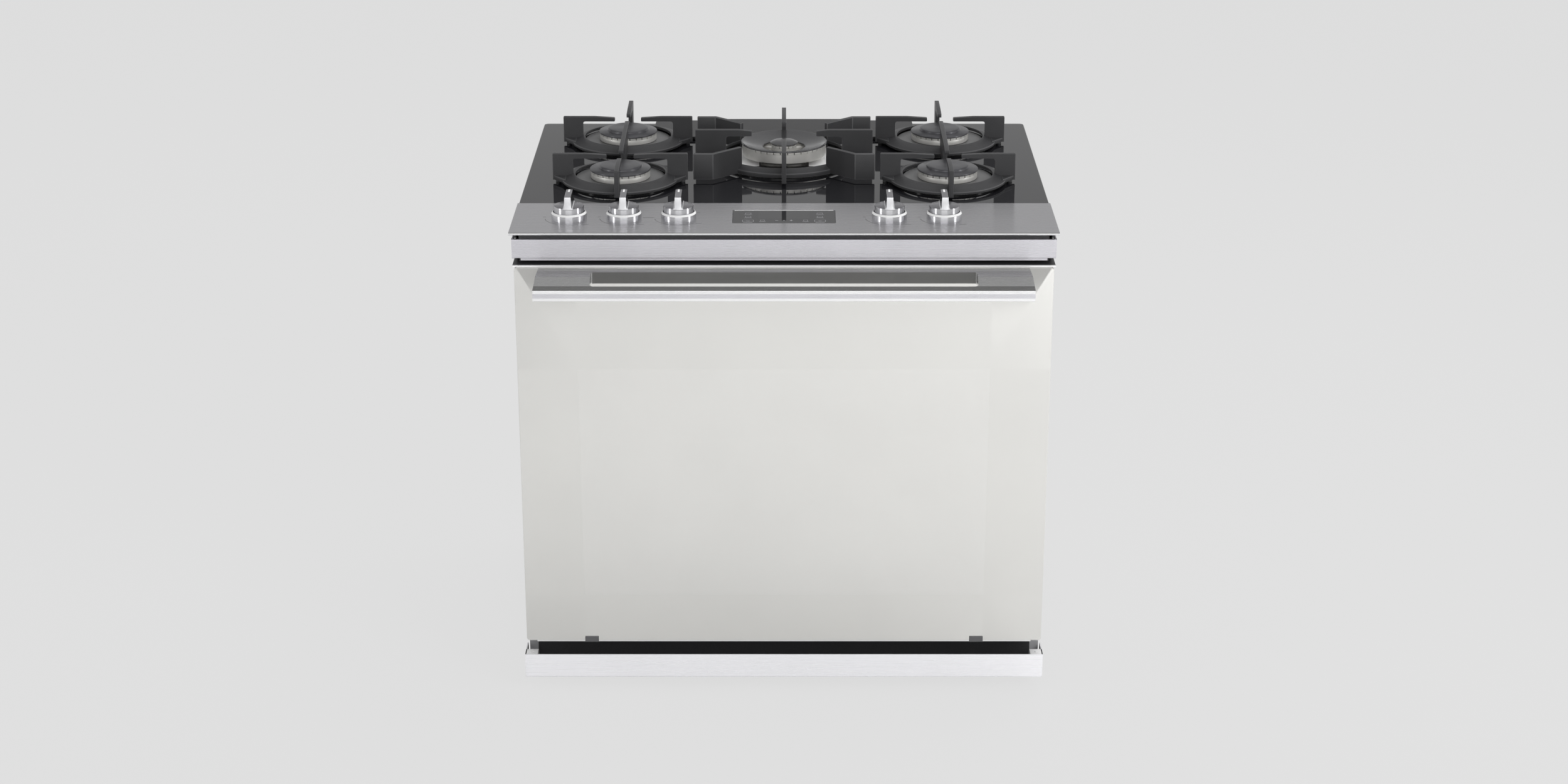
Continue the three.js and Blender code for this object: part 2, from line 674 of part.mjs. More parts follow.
// Folded steel strip below the door, with a fixing tab at each end of its open top.
function kickStrip() {
  const edge = COOKTOP_WIDTH / 2 - KICK_INSET;
  const top = KICK_BOTTOM + KICK_HEIGHT;
  const rear = bodyFront - SEAT;
  const line = [[0, top], [0, KICK_BOTTOM], [rear, KICK_BOTTOM]];
  const face = along('x', folded(line, KICK_SHEET), -edge, edge);
  const ends = mirrored((side) => block(side * edge, side * (edge - KICK_SHEET), 0, rear, KICK_BOTTOM, top));
  const tabs = mirrored((side) => cut(
    block(side * edge, side * (edge - KICK_TAB), 0, KICK_TAB, top - KICK_SHEET, top),
    rod(KICK_TAB_HOLE, top - 4, top + 1, BAR_FACETS)
      .translate(side * (edge - KICK_TAB_INSET), KICK_TAB / 2, 0),
  ));
  return join(face, ...ends, ...tabs);
}

// ---- Oven ------------------------------------------------------------------------------------

const rackHeight = (level) => cavityBottom + LOWEST_RACK + level * RACK_PITCH;

// Enamelled oven cavity: a deep-drawn box with a flange behind the front frame and pressed rack rails.
function ovenLiner() {
  const wall = halfCavity + SHEET;
  const [low, high] = [cavityBottom - SHEET, cavityTop + SHEET];
  const corner = CAVITY_CORNER + SHEET;
  const mouth = () => roundedRectangle(-halfCavity, halfCavity, cavityBottom, cavityTop, CAVITY_CORNER,
    THREE.Path);
  const tube = roundedRectangle(-wall, wall, low, high, corner);
  tube.holes.push(mouth());
  const lip = wall + LINER_FLANGE;
  const flange = roundedRectangle(-lip, lip, low - LINER_FLANGE, high + LINER_FLANGE, CAVITY_CORNER);
  flange.holes.push(mouth());
  const back = roundedRectangle(-wall, wall, low, high, corner);
  back.holes.push(roundHole(lampX, lampHeight, LAMP_RADIUS + 2));
  back.holes.push(roundHole(0, bakeHeight, BAKE_RADIUS + 1));
  const flue = FLUE_WIDTH / 2 - SHEET;
  const flueTop = cavityTop - FLUE_DROP;
  const [mouthLow, mouthHigh] = [flueTop - FLUE_HEIGHT + 2 * SHEET, flueTop - SHEET];
  back.holes.push(roundedRectangle(-flue, flue, mouthLow, mouthHigh, FLUE_CORNER, THREE.Path));
  const levels = Array.from({ length: RACK_LEVELS }, (_, level) => level);
  const rails = mirrored((side) => levels.map((level) => rackRail(side, level))).flat();
  return join(
    along('y', tube, linerFront, cavityRear + SHEET),
    along('y', flange, linerFront, linerFront + SHEET),
    along('y', back, cavityRear, cavityRear + SHEET),
    ...rails,
  );
}

// A rail pressed into the cavity's side, whose top carries a rack's side rod.
function rackRail(side, level) {
  const top = rackHeight(level) - RACK_ROD - SEAT;
  const [inner, outer] = [halfCavity - RAIL_DEPTH, halfCavity + SHEET / 2];
  const outline = [[outer, top], [inner, top], [inner, top - RAIL_LIP], [outer, top - RAIL_THICKNESS]];
  return along('y', outline.map(([x, z]) => [side * x, z]), RAIL_FRONT, cavityRear - RAIL_REAR_GAP);
}

// Lift-out oven bottom, with slots along both sides for the flame's heat.
function ovenFloor() {
  const edge = halfCavity - FLOOR_GAP;
  const [front, rear] = [bodyFront + FLOOR_SETBACK, cavityRear - FLOOR_GAP];
  const top = cavityBottom + OVEN_FLOOR_HEIGHT + SHEET;
  const plate = block(-edge, edge, front, rear, top - SHEET, top);
  const skirt = edge - CAVITY_CORNER;
  const skirts = mirrored((side) => block(side * skirt, side * (skirt - SHEET), front, rear,
    cavityBottom + SEAT, top - SHEET / 2));
  const pitch = (rear - front - FLOOR_SLOT_MARGIN) / FLOOR_SLOTS;
  const slots = mirrored((side) => Array.from({ length: FLOOR_SLOTS }, (_, i) => {
    const y = front + FLOOR_SLOT_MARGIN + i * pitch;
    const x = side * (skirt - FLOOR_SLOT_INSET);
    const half = FLOOR_SLOT_WIDTH / 2;
    return block(x - half, x + half, y, y + 0.75 * pitch, top - SHEET - 1, top + 1);
  })).flat();
  return cut(join(plate, ...skirts), ...slots);
}

// Tube burner under the oven's floor, with a row of ports each side and an open mouth at the rear.
function bakeBurner() {
  const [front, rear] = [bodyFront + BAKE_SETBACK, cavityRear + BAKE_TAIL];
  const z = bakeHeight;
  const tube = bar([0, front, z], [0, rear, z], BAKE_RADIUS, SHAFT_FACETS);
  const bore = bar([0, front + 4, z], [0, rear + 1, z], BAKE_RADIUS - BAKE_WALL, SHAFT_FACETS);
  const pitch = (cavityRear - front) / BAKE_PORTS;
  const ports = Array.from({ length: BAKE_PORTS }, (_, i) => {
    const start = front + (i + 0.4) * pitch;
    return block(-BAKE_RADIUS - 1, BAKE_RADIUS + 1, start, start + 0.6 * pitch, z - 1, z + 1);
  });
  const foot = front + BAKE_STAND_SETBACK;
  const stand = block(-BAKE_STAND, BAKE_STAND, foot, foot + 5 * SHEET, cavityBottom + SEAT,
    z - BAKE_RADIUS + 2);
  return cut(join(tube, stand), bore, ...ports);
}

function ovenLamp() {
  const flange = LAMP_RADIUS + LAMP_FLANGE;
  const seat = -SEAT - LAMP_RIM;
  return turned([
    [0, -LAMP_DOME], [LAMP_RADIUS - 8, -LAMP_DOME], [LAMP_RADIUS - 4, seat], [flange, seat],
    [flange, -SEAT], [LAMP_RADIUS, -SEAT], [LAMP_RADIUS, LAMP_HOLDER], [0, LAMP_HOLDER],
  ], SHAFT_FACETS).rotateX(-Math.PI / 2).translate(lampX, cavityRear, lampHeight);
}

// Mineral wool wrapped round the oven's box.
function insulation() {
  const inner = halfCavity + SHEET + SEAT;
  const [low, high] = [cavityBottom - SHEET - SEAT, cavityTop + SHEET + SEAT];
  const outer = inner + WRAP;
  const wrap = roundedRectangle(-outer, outer, low - WRAP_BELOW, boxFloor - WRAP_HEADROOM, WRAP_CORNER);
  wrap.holes.push(roundedRectangle(-inner, inner, low, high, CAVITY_CORNER, THREE.Path));
  return along('y', wrap, WRAP_FRONT, cavityRear - SEAT);
}

// Woven seal on the front frame round the oven's mouth, pressed by the shut door.
function doorGasket() {
  const edge = halfCavity + GASKET_LAP;
  const [low, high] = [cavityBottom - GASKET_LAP, cavityTop + GASKET_LAP];
  const outer = edge + GASKET_WIDTH;
  const ring = roundedRectangle(-outer, outer, low - GASKET_WIDTH, high + GASKET_WIDTH, CAVITY_CORNER);
  ring.holes.push(roundedRectangle(-edge, edge, low, high, CAVITY_CORNER, THREE.Path));
  return along('y', ring, DOOR_DEPTH + SEAT, bodyFront - SEAT);
}

// Wire rack: a rod frame, two cross rods and thin wires from front to back welded on top.
function ovenRack() {
  const end = halfRack + RACK_ROD;
  const frame = [
    ...mirrored((side) => bar([side * halfRack, RACK_FRONT, 0], [side * halfRack, rackRear, 0], RACK_ROD)),
    ...[RACK_FRONT, rackRear].map((y) => bar([-end, y, 0], [end, y, 0], RACK_ROD)),
    bar([-halfRack, RACK_BRACE_Y, -RACK_BRACE], [halfRack, RACK_BRACE_Y, -RACK_BRACE], RACK_BRACE),
  ];
  const wireHeight = RACK_ROD - RACK_WIRE_SINK;
  const wires = Array.from({ length: RACK_WIRES }, (_, i) => {
    const x = (i - (RACK_WIRES - 1) / 2) * RACK_WIRE_PITCH;
    return bar([x, RACK_FRONT, wireHeight], [x, rackRear, wireHeight], RACK_WIRE, WIRE_FACETS);
  });
  return join(...frame, ...wires);
}

// ---- Cooktop ---------------------------------------------------------------------------------

// Glass top behind the steel panel: a hole for each burner's throat and one for the flue.
function cooktopGlass() {
  const edge = COOKTOP_WIDTH / 2 - GLASS_INSET;
  const front = PANEL_DEPTH + SEAT;
  const shape = new THREE.Shape();
  shape.moveTo(-edge, front);
  shape.lineTo(edge, front);
  shape.absarc(edge - GLASS_CORNER, COOKTOP_DEPTH - GLASS_CORNER, GLASS_CORNER, 0, Math.PI / 2);
  shape.absarc(GLASS_CORNER - edge, COOKTOP_DEPTH - GLASS_CORNER, GLASS_CORNER, Math.PI / 2, Math.PI);
  burnerSpots.forEach(([, x, y]) => shape.holes.push(roundHole(x, y, throatHole)));
  shape.holes.push(roundHole(0, centreY, throatHole));
  const flue = FLUE_WIDTH / 2 + FLUE_ROOM;
  shape.holes.push(roundedRectangle(-flue, flue, flueFront - FLUE_ROOM, flueFront + FLUE_DEPTH + FLUE_ROOM, 3,
    THREE.Path));
  return along('z', shape, glassUnderside, COOKTOP_HEIGHT, 2);
}

// Steel control panel: hemmed nose, turned-down rear edge, a window for the touch panel and a fixed
// bezel round each knob.
function controlPanel() {
  const edge = COOKTOP_WIDTH / 2;
  const top = COOKTOP_HEIGHT;
  const skin = along('x', panelProfile(), -edge, edge, 3);
  const ends = mirrored((side) => block(side * edge, side * (edge - PANEL_SHEET), PANEL_NOSE / 2, PANEL_DEPTH,
    top - PANEL_NOSE, top - PANEL_SHEET / 2));
  const bore = KNOB_RADIUS + BEZEL_CLEARANCE;
  const bezels = KNOB_XS.map((x) => turned([
    [bore, top - BITE], [BEZEL_RADIUS, top - BITE], [BEZEL_RADIUS - BEZEL_BEVEL, top + BEZEL_HEIGHT],
    [bore, top + BEZEL_HEIGHT],
  ], SMALL_FACETS).translate(x, KNOB_ROW_Y, 0));
  const holes = KNOB_XS.map((x) => rod(STEM_COLLAR + 2, top - 5, top + 1, SHAFT_FACETS)
    .translate(x, KNOB_ROW_Y, 0));
  const [u, v] = [TOUCH_WIDTH / 2, TOUCH_DEPTH / 2];
  const window = roundedRectangle(-u, u, TOUCH_CENTRE_Y - v, TOUCH_CENTRE_Y + v, TOUCH_CORNER);
  return cut(join(skin, ...ends, ...bezels), ...holes, along('z', window, top - 5, top + 1));
}

// The control panel from the side: a round nose hemmed under at the front, a flange down at the rear.
function panelProfile() {
  const top = COOKTOP_HEIGHT;
  const nose = PANEL_NOSE / 2;
  const foot = boxTop + SEAT;
  const profile = new THREE.Shape();
  profile.moveTo(PANEL_DEPTH, top);
  profile.lineTo(nose, top);
  profile.absarc(nose, top - nose, nose, Math.PI / 2, 1.5 * Math.PI);
  profile.lineTo(PANEL_HEM, top - PANEL_NOSE);
  profile.lineTo(PANEL_HEM, top - PANEL_SHEET);
  profile.lineTo(PANEL_DEPTH - PANEL_SHEET, top - PANEL_SHEET);
  profile.lineTo(PANEL_DEPTH - PANEL_SHEET, foot);
  profile.lineTo(PANEL_DEPTH, foot);
  return profile;
}

// Touch panel: a pane set a little below the steel, on a housing with a rim under the sheet.
function touchPanel() {
  const top = COOKTOP_HEIGHT;
  const [u, v] = [TOUCH_WIDTH / 2, TOUCH_DEPTH / 2];
  const outline = roundedRectangle(SLIP - u, u - SLIP, SLIP - v, v - SLIP, TOUCH_CORNER);
  const pane = along('z', outline, top - PANEL_SHEET - BITE - SEAT, top - TOUCH_SINK);
  const under = top - PANEL_SHEET - SEAT;
  const [wide, deep] = [u + TOUCH_RIM, v + TOUCH_RIM];
  const housing = block(-wide, wide, -deep, deep, under - TOUCH_HOUSING, under);
  return join(pane, housing).translate(0, TOUCH_CENTRE_Y, 0);
}

// Brushed strip under the control panel, folded back along its top and turned in to a lip below.
function frontTrim() {
  const edge = COOKTOP_WIDTH / 2 - TRIM_INSET;
  const top = COOKTOP_HEIGHT - TRIM_TOP_DROP;
  const bottom = top - TRIM_HEIGHT;
  const rear = TRIM_FRONT + TRIM_RETURN;
  const line = [[BOX_FRONT - SEAT, top], [TRIM_FRONT, top], [TRIM_FRONT, bottom], [rear, bottom]];
  const face = along('x', folded(line, SHEET), -edge, edge);
  const lipEnd = edge - TRIM_LIP_INSET;
  const lip = block(-lipEnd, lipEnd, rear - SHEET, rear, bottom - TRIM_LIP, bottom + SHEET);
  const ends = mirrored((side) => block(side * edge, side * (edge - SHEET), TRIM_FRONT, bodyFront - SEAT,
    bottom, top));
  return join(face, lip, ...ends);
}

// Low hood over the oven's flue: slanted ends, a raised grille in the middle that opens to the rear,
// and the duct that comes up from the oven's back wall.
function rearVent() {
  const [front, rear] = [COOKTOP_DEPTH - VENT_DEPTH, COOKTOP_DEPTH];
  const base = COOKTOP_HEIGHT + SEAT;
  const roof = COOKTOP_HEIGHT + VENT_HEIGHT;
  const wide = VENT_WIDTH / 2;
  const plan = [[-wide, front], [wide, front], [wide - VENT_TAPER, rear], [VENT_TAPER - wide, rear]];
  const hood = along('z', plan, base, roof);
  const grille = GRILLE_WIDTH / 2;
  const ramp = [[front, roof - 1], [rear, roof - 1], [rear, roof + GRILLE_RISE], [front, roof]];
  const wedge = along('x', ramp, -grille, grille);
  const duct = FLUE_WIDTH / 2;
  const start = cavityRear + SHEET + SEAT;
  const flueRear = flueFront + FLUE_DEPTH;
  const high = cavityTop - FLUE_DROP;
  const low = high - FLUE_HEIGHT;
  const elbow = (inset) => along('x', [
    [start - inset, low + inset], [flueRear - inset, low + inset], [flueRear - inset, base + 1 + inset],
    [flueFront + inset, base + 1 + inset], [flueFront + inset, high - inset], [start - inset, high - inset],
  ], -duct + inset, duct - inset);
  const chamberRear = rear - VENT_REAR_WALL;
  const chamber = block(-duct + SHEET, duct - SHEET, flueFront + SHEET, chamberRear, base - 1, roof - SHEET);
  const half = GRILLE_SLOT_WIDTH / 2;
  const mouths = Array.from({ length: GRILLE_SLOTS }, (_, i) => {
    const x = (i - (GRILLE_SLOTS - 1) / 2) * GRILLE_PITCH;
    return block(x - half, x + half, chamberRear - 2, rear + 1, base + 1, roof - SHEET);
  });
  return cut(join(hood, wedge, elbow(0)), elbow(SHEET), chamber, ...mouths);
}

// Steel tray under the glass, stepped up at the front to clear the door, with a bridge that carries
// the rear edge of the control panel and the front edge of the glass.
function burnerBox() {
  const lower = linerFront;
  const cheekTop = boxTop - SHEET / 2;
  const stepped = (front, rear) => [
    [BOX_FRONT, front], [BOX_FRONT, boxShelf], [lower, boxShelf], [lower, boxFloor], [boxRear, boxFloor],
    [boxRear, rear],
  ];
  const noseSeat = COOKTOP_HEIGHT - PANEL_NOSE - SEAT;
  const floor = along('x', folded(stepped(noseSeat, boxTop), SHEET), -halfBox, halfBox);
  const cheek = stepped(cheekTop, cheekTop);
  const cheeks = [-halfBox, halfBox - SHEET].map((x) => along('x', cheek, x, x + SHEET));
  const inside = halfBox - SHEET / 2;
  const [front, rear] = [PANEL_DEPTH - BRIDGE_WIDTH, boxRear - SHEET / 2];
  const ledges = mirrored((side) => block(side * inside, side * (halfBody - 0.5), front, rear,
    boxTop - SHEET, boxTop));
  const shelf = block(-inside, inside, PANEL_DEPTH - BRIDGE_WIDTH / 2, PANEL_DEPTH + BRIDGE_WIDTH / 2,
    boxTop - SHEET, boxTop);
  const web = block(-inside, inside, PANEL_DEPTH, PANEL_DEPTH + SHEET, boxTop - BRIDGE_DROP, cheekTop);
  const feedHole = bar([feedX, boxRear - 3, railHeight], [feedX, boxRear + 1, railHeight], FEED_RADIUS + 2,
    SHAFT_FACETS);
  return cut(join(floor, ...cheeks, ...ledges, shelf, web), feedHole);
}

// ---- Gas ways --------------------------------------------------------------------------------

// Where each valve's tube runs to its burner, in the order of the knobs.
function tubeRoutes() {
  const z = valveTop - TUBE_DROP;
  const start = KNOB_ROW_Y + VALVE_DEPTH / 2 - 1;
  const [k1, k2, k3, k4, k5] = KNOB_XS;
  const approach = frontBurnerY - TUBE_SIDESTEP;
  const outer = CORNER_X + TUBE_DETOUR;
  const turn = start + TUBE_LEAD;
  const routes = [
    [[k1, start], [k1, rearBurnerY], [-CORNER_X, rearBurnerY]],
    [[k2, start], [k2, approach], [-CORNER_X, approach], [-CORNER_X, frontBurnerY]],
    [[k3, start], [k3, centreY], [0, centreY]],
    [[k4, start], [k4, frontBurnerY], [CORNER_X, frontBurnerY]],
    [[k5, start], [k5, turn], [outer, turn], [outer, rearBurnerY], [CORNER_X, rearBurnerY]],
  ];
  return routes.map((route) => route.map(([x, y]) => [x, y, z]));
}

// Gas rail with five valves, a tube and jet post for each burner, and the feed from the rear inlet,
// with a branch down to the oven's burner.
function gasManifold() {
  const railEnds = [[KNOB_XS[0] - RAIL_END, KNOB_ROW_Y, railHeight], [feedX, KNOB_ROW_Y, railHeight]];
  const rail = pipe(railEnds, RAIL_RADIUS);
  const feedAt = (y) => [feedX, y, railHeight];
  const feed = bar(feedAt(KNOB_ROW_Y), feedAt(bodyRear + 4), FEED_RADIUS);
  const nut = bar(feedAt(bodyRear + 1), feedAt(COOKTOP_DEPTH - 1.5), FEED_RADIUS + FEED_NUT);
  const valves = KNOB_XS.flatMap((x) => [
    new THREE.BoxGeometry(VALVE_WIDTH, VALVE_DEPTH, VALVE_HEIGHT)
      .translate(x, KNOB_ROW_Y, railHeight + VALVE_HEIGHT / 2),
    rod(BONNET_RADIUS, valveTop - 1, bonnetTop, BAR_FACETS).translate(x, KNOB_ROW_Y, 0),
  ]);
  const tubes = tubeRoutes().map((route) => pipe(route, TUBE_RADIUS, WIRE_FACETS));
  const postFoot = boxFloor + SHEET + SEAT;
  const posts = [...burnerSpots, ['centre', 0, centreY]].map(([, x, y]) =>
    rod(JET_POST_RADIUS, postFoot, valveTop, BAR_FACETS).translate(x, y, 0));
  const [wide, deep] = [RAIL_BRACKET / 2, RAIL_RADIUS + 1];
  const brackets = mirrored((side) => block(side * RAIL_BRACKET_X - wide, side * RAIL_BRACKET_X + wide,
    KNOB_ROW_Y - deep, KNOB_ROW_Y + deep, postFoot, railHeight - RAIL_RADIUS / 2));
  const bakeFeed = pipe([
    [feedX, bakeFeedY, railHeight], [feedX, bakeFeedY, bakeHeight], [0, bakeFeedY, bakeHeight],
    [0, bakeFeedY - 2 * BAKE_RADIUS, bakeHeight],
  ], BAKE_FEED_RADIUS);
  const bores = KNOB_XS.map((x) => rod(stemHole, stemFloor, bonnetTop + 1, BAR_FACETS)
    .translate(x, KNOB_ROW_Y, 0));
  const inlet = bar(feedAt(bodyRear - 6), feedAt(COOKTOP_DEPTH), FEED_RADIUS - 2, SHAFT_FACETS);
  return cut(join(rail, feed, nut, ...valves, ...tubes, ...posts, ...brackets, bakeFeed), ...bores, inlet);
}

// Valve stem, from the bottom of its bore up into the knob, with a collar that stops the push.
function valveStem() {
  const bottom = stemFloor + KNOB_TRAVEL + 2;
  const collar = bonnetTop + KNOB_TRAVEL + STEM_COLLAR_GAP;
  const top = COOKTOP_HEIGHT + KNOB_BOTTOM + KNOB_SOCKET_DEPTH - SEAT;
  return turned([
    [0, bottom], [STEM_RADIUS, bottom], [STEM_RADIUS, collar], [STEM_COLLAR, collar],
    [STEM_COLLAR, collar + 2], [STEM_RADIUS, collar + 2], [STEM_RADIUS, top], [0, top],
  ], BAR_FACETS);
}

// Knob: a disc that sinks into its bezel, and a full-width grip blade that flares into the disc.
// Heights are above the control panel.
function knob() {
  const disc = rod(KNOB_RADIUS, KNOB_BOTTOM, KNOB_DISC_TOP, SMALL_FACETS);
  const blade = common(
    along('y', bladeSection(), -KNOB_RADIUS, KNOB_RADIUS, 2),
    rod(KNOB_RADIUS, 0, KNOB_HEIGHT + 1, SMALL_FACETS),
  );
  return cut(join(disc, blade), rod(stemHole, 0, KNOB_BOTTOM + KNOB_SOCKET_DEPTH, SOCKET_FACETS));
}

// The grip blade from the front: filleted into the disc, slightly tapered, with softened top edges.
function bladeSection() {
  const [waist, heel] = [BLADE_WIDTH / 2, BLADE_FOOT_WIDTH / 2];
  const root = KNOB_DISC_TOP + 0.4;
  const shoulder = KNOB_HEIGHT - BLADE_EDGE;
  const section = new THREE.Shape();
  section.moveTo(heel, KNOB_DISC_TOP - 1);
  section.lineTo(heel, KNOB_DISC_TOP);
  section.quadraticCurveTo(waist, root, waist, KNOB_DISC_TOP + BLADE_FILLET);
  section.lineTo(waist - 0.3, shoulder);
  section.lineTo(waist - 0.3 - BLADE_EDGE, KNOB_HEIGHT);
  section.lineTo(BLADE_EDGE + 0.3 - waist, KNOB_HEIGHT);
  section.lineTo(0.3 - waist, shoulder);
  section.lineTo(-waist, KNOB_DISC_TOP + BLADE_FILLET);
  section.quadraticCurveTo(-waist, root, -heel, KNOB_DISC_TOP);
  section.lineTo(-heel, KNOB_DISC_TOP - 1);
  return section;
}

// ---- Burners, with heights above the cooktop -------------------------------------------------

// Dished pan that closes the hole in the glass round a burner's throat.
function dripBowl(radius, shelf) {
  const collar = throatHole - 3;
  return turned([
    [radius, SEAT], [radius, SEAT + BOWL_SHEET], [shelf, BOWL_RISE], [collar - BOWL_SHEET, BOWL_RISE],
    [collar - BOWL_SHEET, -BOWL_COLLAR], [collar, -BOWL_COLLAR], [collar, BOWL_RISE - BOWL_SHEET],
    [shelf - 0.8, BOWL_RISE - BOWL_SHEET],
  ], SMALL_FACETS);
}

// A ring of flame ports, cut down from the top of a burner's wall.
const flamePorts = (count, inner, outer, top) => around(
  count,
  () => block(inner - 1, outer + 1, -PORT_WIDTH / 2, PORT_WIDTH / 2, top - PORT_HEIGHT, top + 1),
  Math.PI / count,
);

function cornerHead() {
  const inner = HEAD_RADIUS - HEAD_WALL;
  const base = headTop - PORT_HEIGHT;
  const casting = turned([
    [0, -THROAT_DROP], [THROAT_RADIUS, -THROAT_DROP], [THROAT_RADIUS, headBottom], [HEAD_RADIUS, headBottom],
    [HEAD_RADIUS, headTop], [inner, headTop], [inner, base], [0, base],
  ], PORTS);
  return cut(casting, ...flamePorts(PORTS, inner, HEAD_RADIUS, headTop));
}

function cornerCap() {
  const radius = HEAD_RADIUS + CAP_OVERHANG;
  const seat = headTop + SEAT;
  const skirt = HEAD_RADIUS - HEAD_WALL - 2;
  return turned([
    [0, seat - 4], [skirt, seat - 4], [skirt, seat], [radius, seat], [radius, seat + CAP_EDGE],
    [CAP_BOSS_RADIUS, CAP_TOP - CAP_EDGE], [CAP_BOSS_RADIUS - 2, CAP_TOP], [0, CAP_TOP],
  ], SMALL_FACETS);
}

// Centre burner: an outer crown with its own ring of ports, bridged by ribs to the inner burner.
function centreHead() {
  const channel = CROWN_RADIUS - CROWN_WALL;
  const innerWall = CROWN_BORE + CROWN_WALL;
  const gutter = CROWN_BOTTOM + CROWN_FLOOR;
  const lip = CROWN_CAP_DISH - CROWN_CAP_SHEET;
  const crown = turned([
    [CROWN_RADIUS, CROWN_BOTTOM], [CROWN_RADIUS, CROWN_TOP], [channel, CROWN_TOP], [channel, gutter],
    [innerWall, gutter], [innerWall, lip], [CROWN_BORE, lip], [CROWN_BORE, CROWN_BOTTOM],
  ], CROWN_PORTS);
  const column = turned([
    [0, -THROAT_DROP], [INNER_RADIUS, -THROAT_DROP], [INNER_RADIUS, INNER_TOP], [INNER_BORE, INNER_TOP],
    [INNER_BORE, INNER_TOP - PORT_HEIGHT], [0, INNER_TOP - PORT_HEIGHT],
  ], INNER_PORTS);
  const ribs = around(BRIDGE_RIBS, () => block(INNER_RADIUS - 3, CROWN_BORE + 2, -BRIDGE_RIB_WIDTH / 2,
    BRIDGE_RIB_WIDTH / 2, CROWN_BOTTOM, CROWN_BOTTOM + BRIDGE_RIB_HEIGHT), Math.PI / 6);
  const stand = turned([
    [0, headBottom], [throatHole + 2, headBottom],
    [INNER_RADIUS + 2, CROWN_BOTTOM + 2], [0, CROWN_BOTTOM + 2],
  ], INNER_PORTS);
  return cut(
    join(crown, column, stand, ...ribs),
    ...flamePorts(CROWN_PORTS, channel, CROWN_RADIUS, CROWN_TOP),
    ...flamePorts(INNER_PORTS, INNER_BORE, INNER_RADIUS, INNER_TOP),
  );
}

// Dished ring that covers the crown, open in the middle round the inner burner.
function crownCap() {
  const radius = CROWN_RADIUS + CROWN_CAP_OVERHANG;
  const seat = CROWN_TOP + SEAT;
  const dish = CROWN_CAP_DISH;
  const rise = CROWN_CAP_TOP - dish;
  const lipSeat = dish - CROWN_CAP_SHEET + SEAT;
  const waist = (CROWN_CAP_LIP + radius) / 2;
  return turned([
    [CROWN_CAP_LIP, lipSeat], [CROWN_CAP_LIP, dish], [waist, dish + rise * 0.38], [radius - 2, CROWN_CAP_TOP],
    [radius, CROWN_CAP_TOP - 1.2], [radius, seat], [CROWN_RADIUS - CROWN_WALL - 1, seat],
    [CROWN_BORE + CROWN_WALL + 2, lipSeat],
  ], CROWN_PORTS);
}

function innerCap() {
  const radius = INNER_RADIUS + INNER_CAP_OVERHANG;
  const seat = INNER_TOP + SEAT;
  const pin = INNER_BORE - 2;
  return turned([
    [0, seat - 4], [pin, seat - 4], [pin, seat], [radius, seat], [radius, seat + 2],
    [radius - 6, INNER_CAP_TOP - 0.8], [radius - 11, INNER_CAP_TOP], [0, INNER_CAP_TOP],
  ], SOCKET_FACETS);
}

// ---- Cast grates, with heights above the cooktop ---------------------------------------------

// A ring with a sloped face, thin at its outer edge.
function grateRing(inner, outer, edge, crest) {
  return turned([
    [outer, GRATE_CLEARANCE], [outer, edge],
    [inner, crest], [inner, crest - RING_SKIN], [outer - 3, GRATE_CLEARANCE],
  ]);
}

// The room that a grate leaves over a burner's bowl.
const bowlRoom = (radius, shelf) => turned([
  [0, -1], [radius + 1, -1], [radius + 1, SEAT + BOWL_SHEET + BOWL_ROOM], [shelf, BOWL_RISE + BOWL_ROOM],
  [0, BOWL_RISE + BOWL_ROOM],
]);

// The side of a grate arm in (distance from the burner, height): a plate, and a finger over the flame.
function armOutline({ outer, plate, tip, top, finger }) {
  const root = outer - plate;
  return [
    [outer, GRATE_CLEARANCE], [outer, top], [root - ARM_SHOULDER, top], [tip, top - ARM_TIP_DROP],
    [tip, top - finger], [root - ARM_FILLET, top - finger], [root, top - finger - ARM_FILLET],
    [root, GRATE_CLEARANCE],
  ];
}

const cornerArm = { outer: ARM_OUTER, plate: ARM_PLATE, tip: ARM_TIP, top: ARM_TOP, finger: ARM_FINGER };
const centreArm = {
  outer: CENTRE_ARM_OUTER,
  plate: CENTRE_ARM_PLATE,
  tip: CENTRE_ARM_TIP,
  top: CENTRE_ARM_TOP,
  finger: CENTRE_ARM_FINGER,
};

const arm = (sizes, angle) => along('y', armOutline(sizes), -BAR / 2, BAR / 2).rotateZ(angle);

// The pointed shoulder by which a ring runs out to meet an arm.
const ear = (ringOuter, edge, angle) => along('z', [
  [ringOuter - EAR_ROOT, -EAR_WIDTH / 2], [ringOuter + EAR, -BAR / 2],
  [ringOuter + EAR, BAR / 2], [ringOuter - EAR_ROOT, EAR_WIDTH / 2],
], GRATE_CLEARANCE, edge).rotateZ(angle);

const pad = (x, y) => rod(PAD_RADIUS, SEAT, GRATE_CLEARANCE + 0.5, BAR_FACETS).translate(x, y, 0);

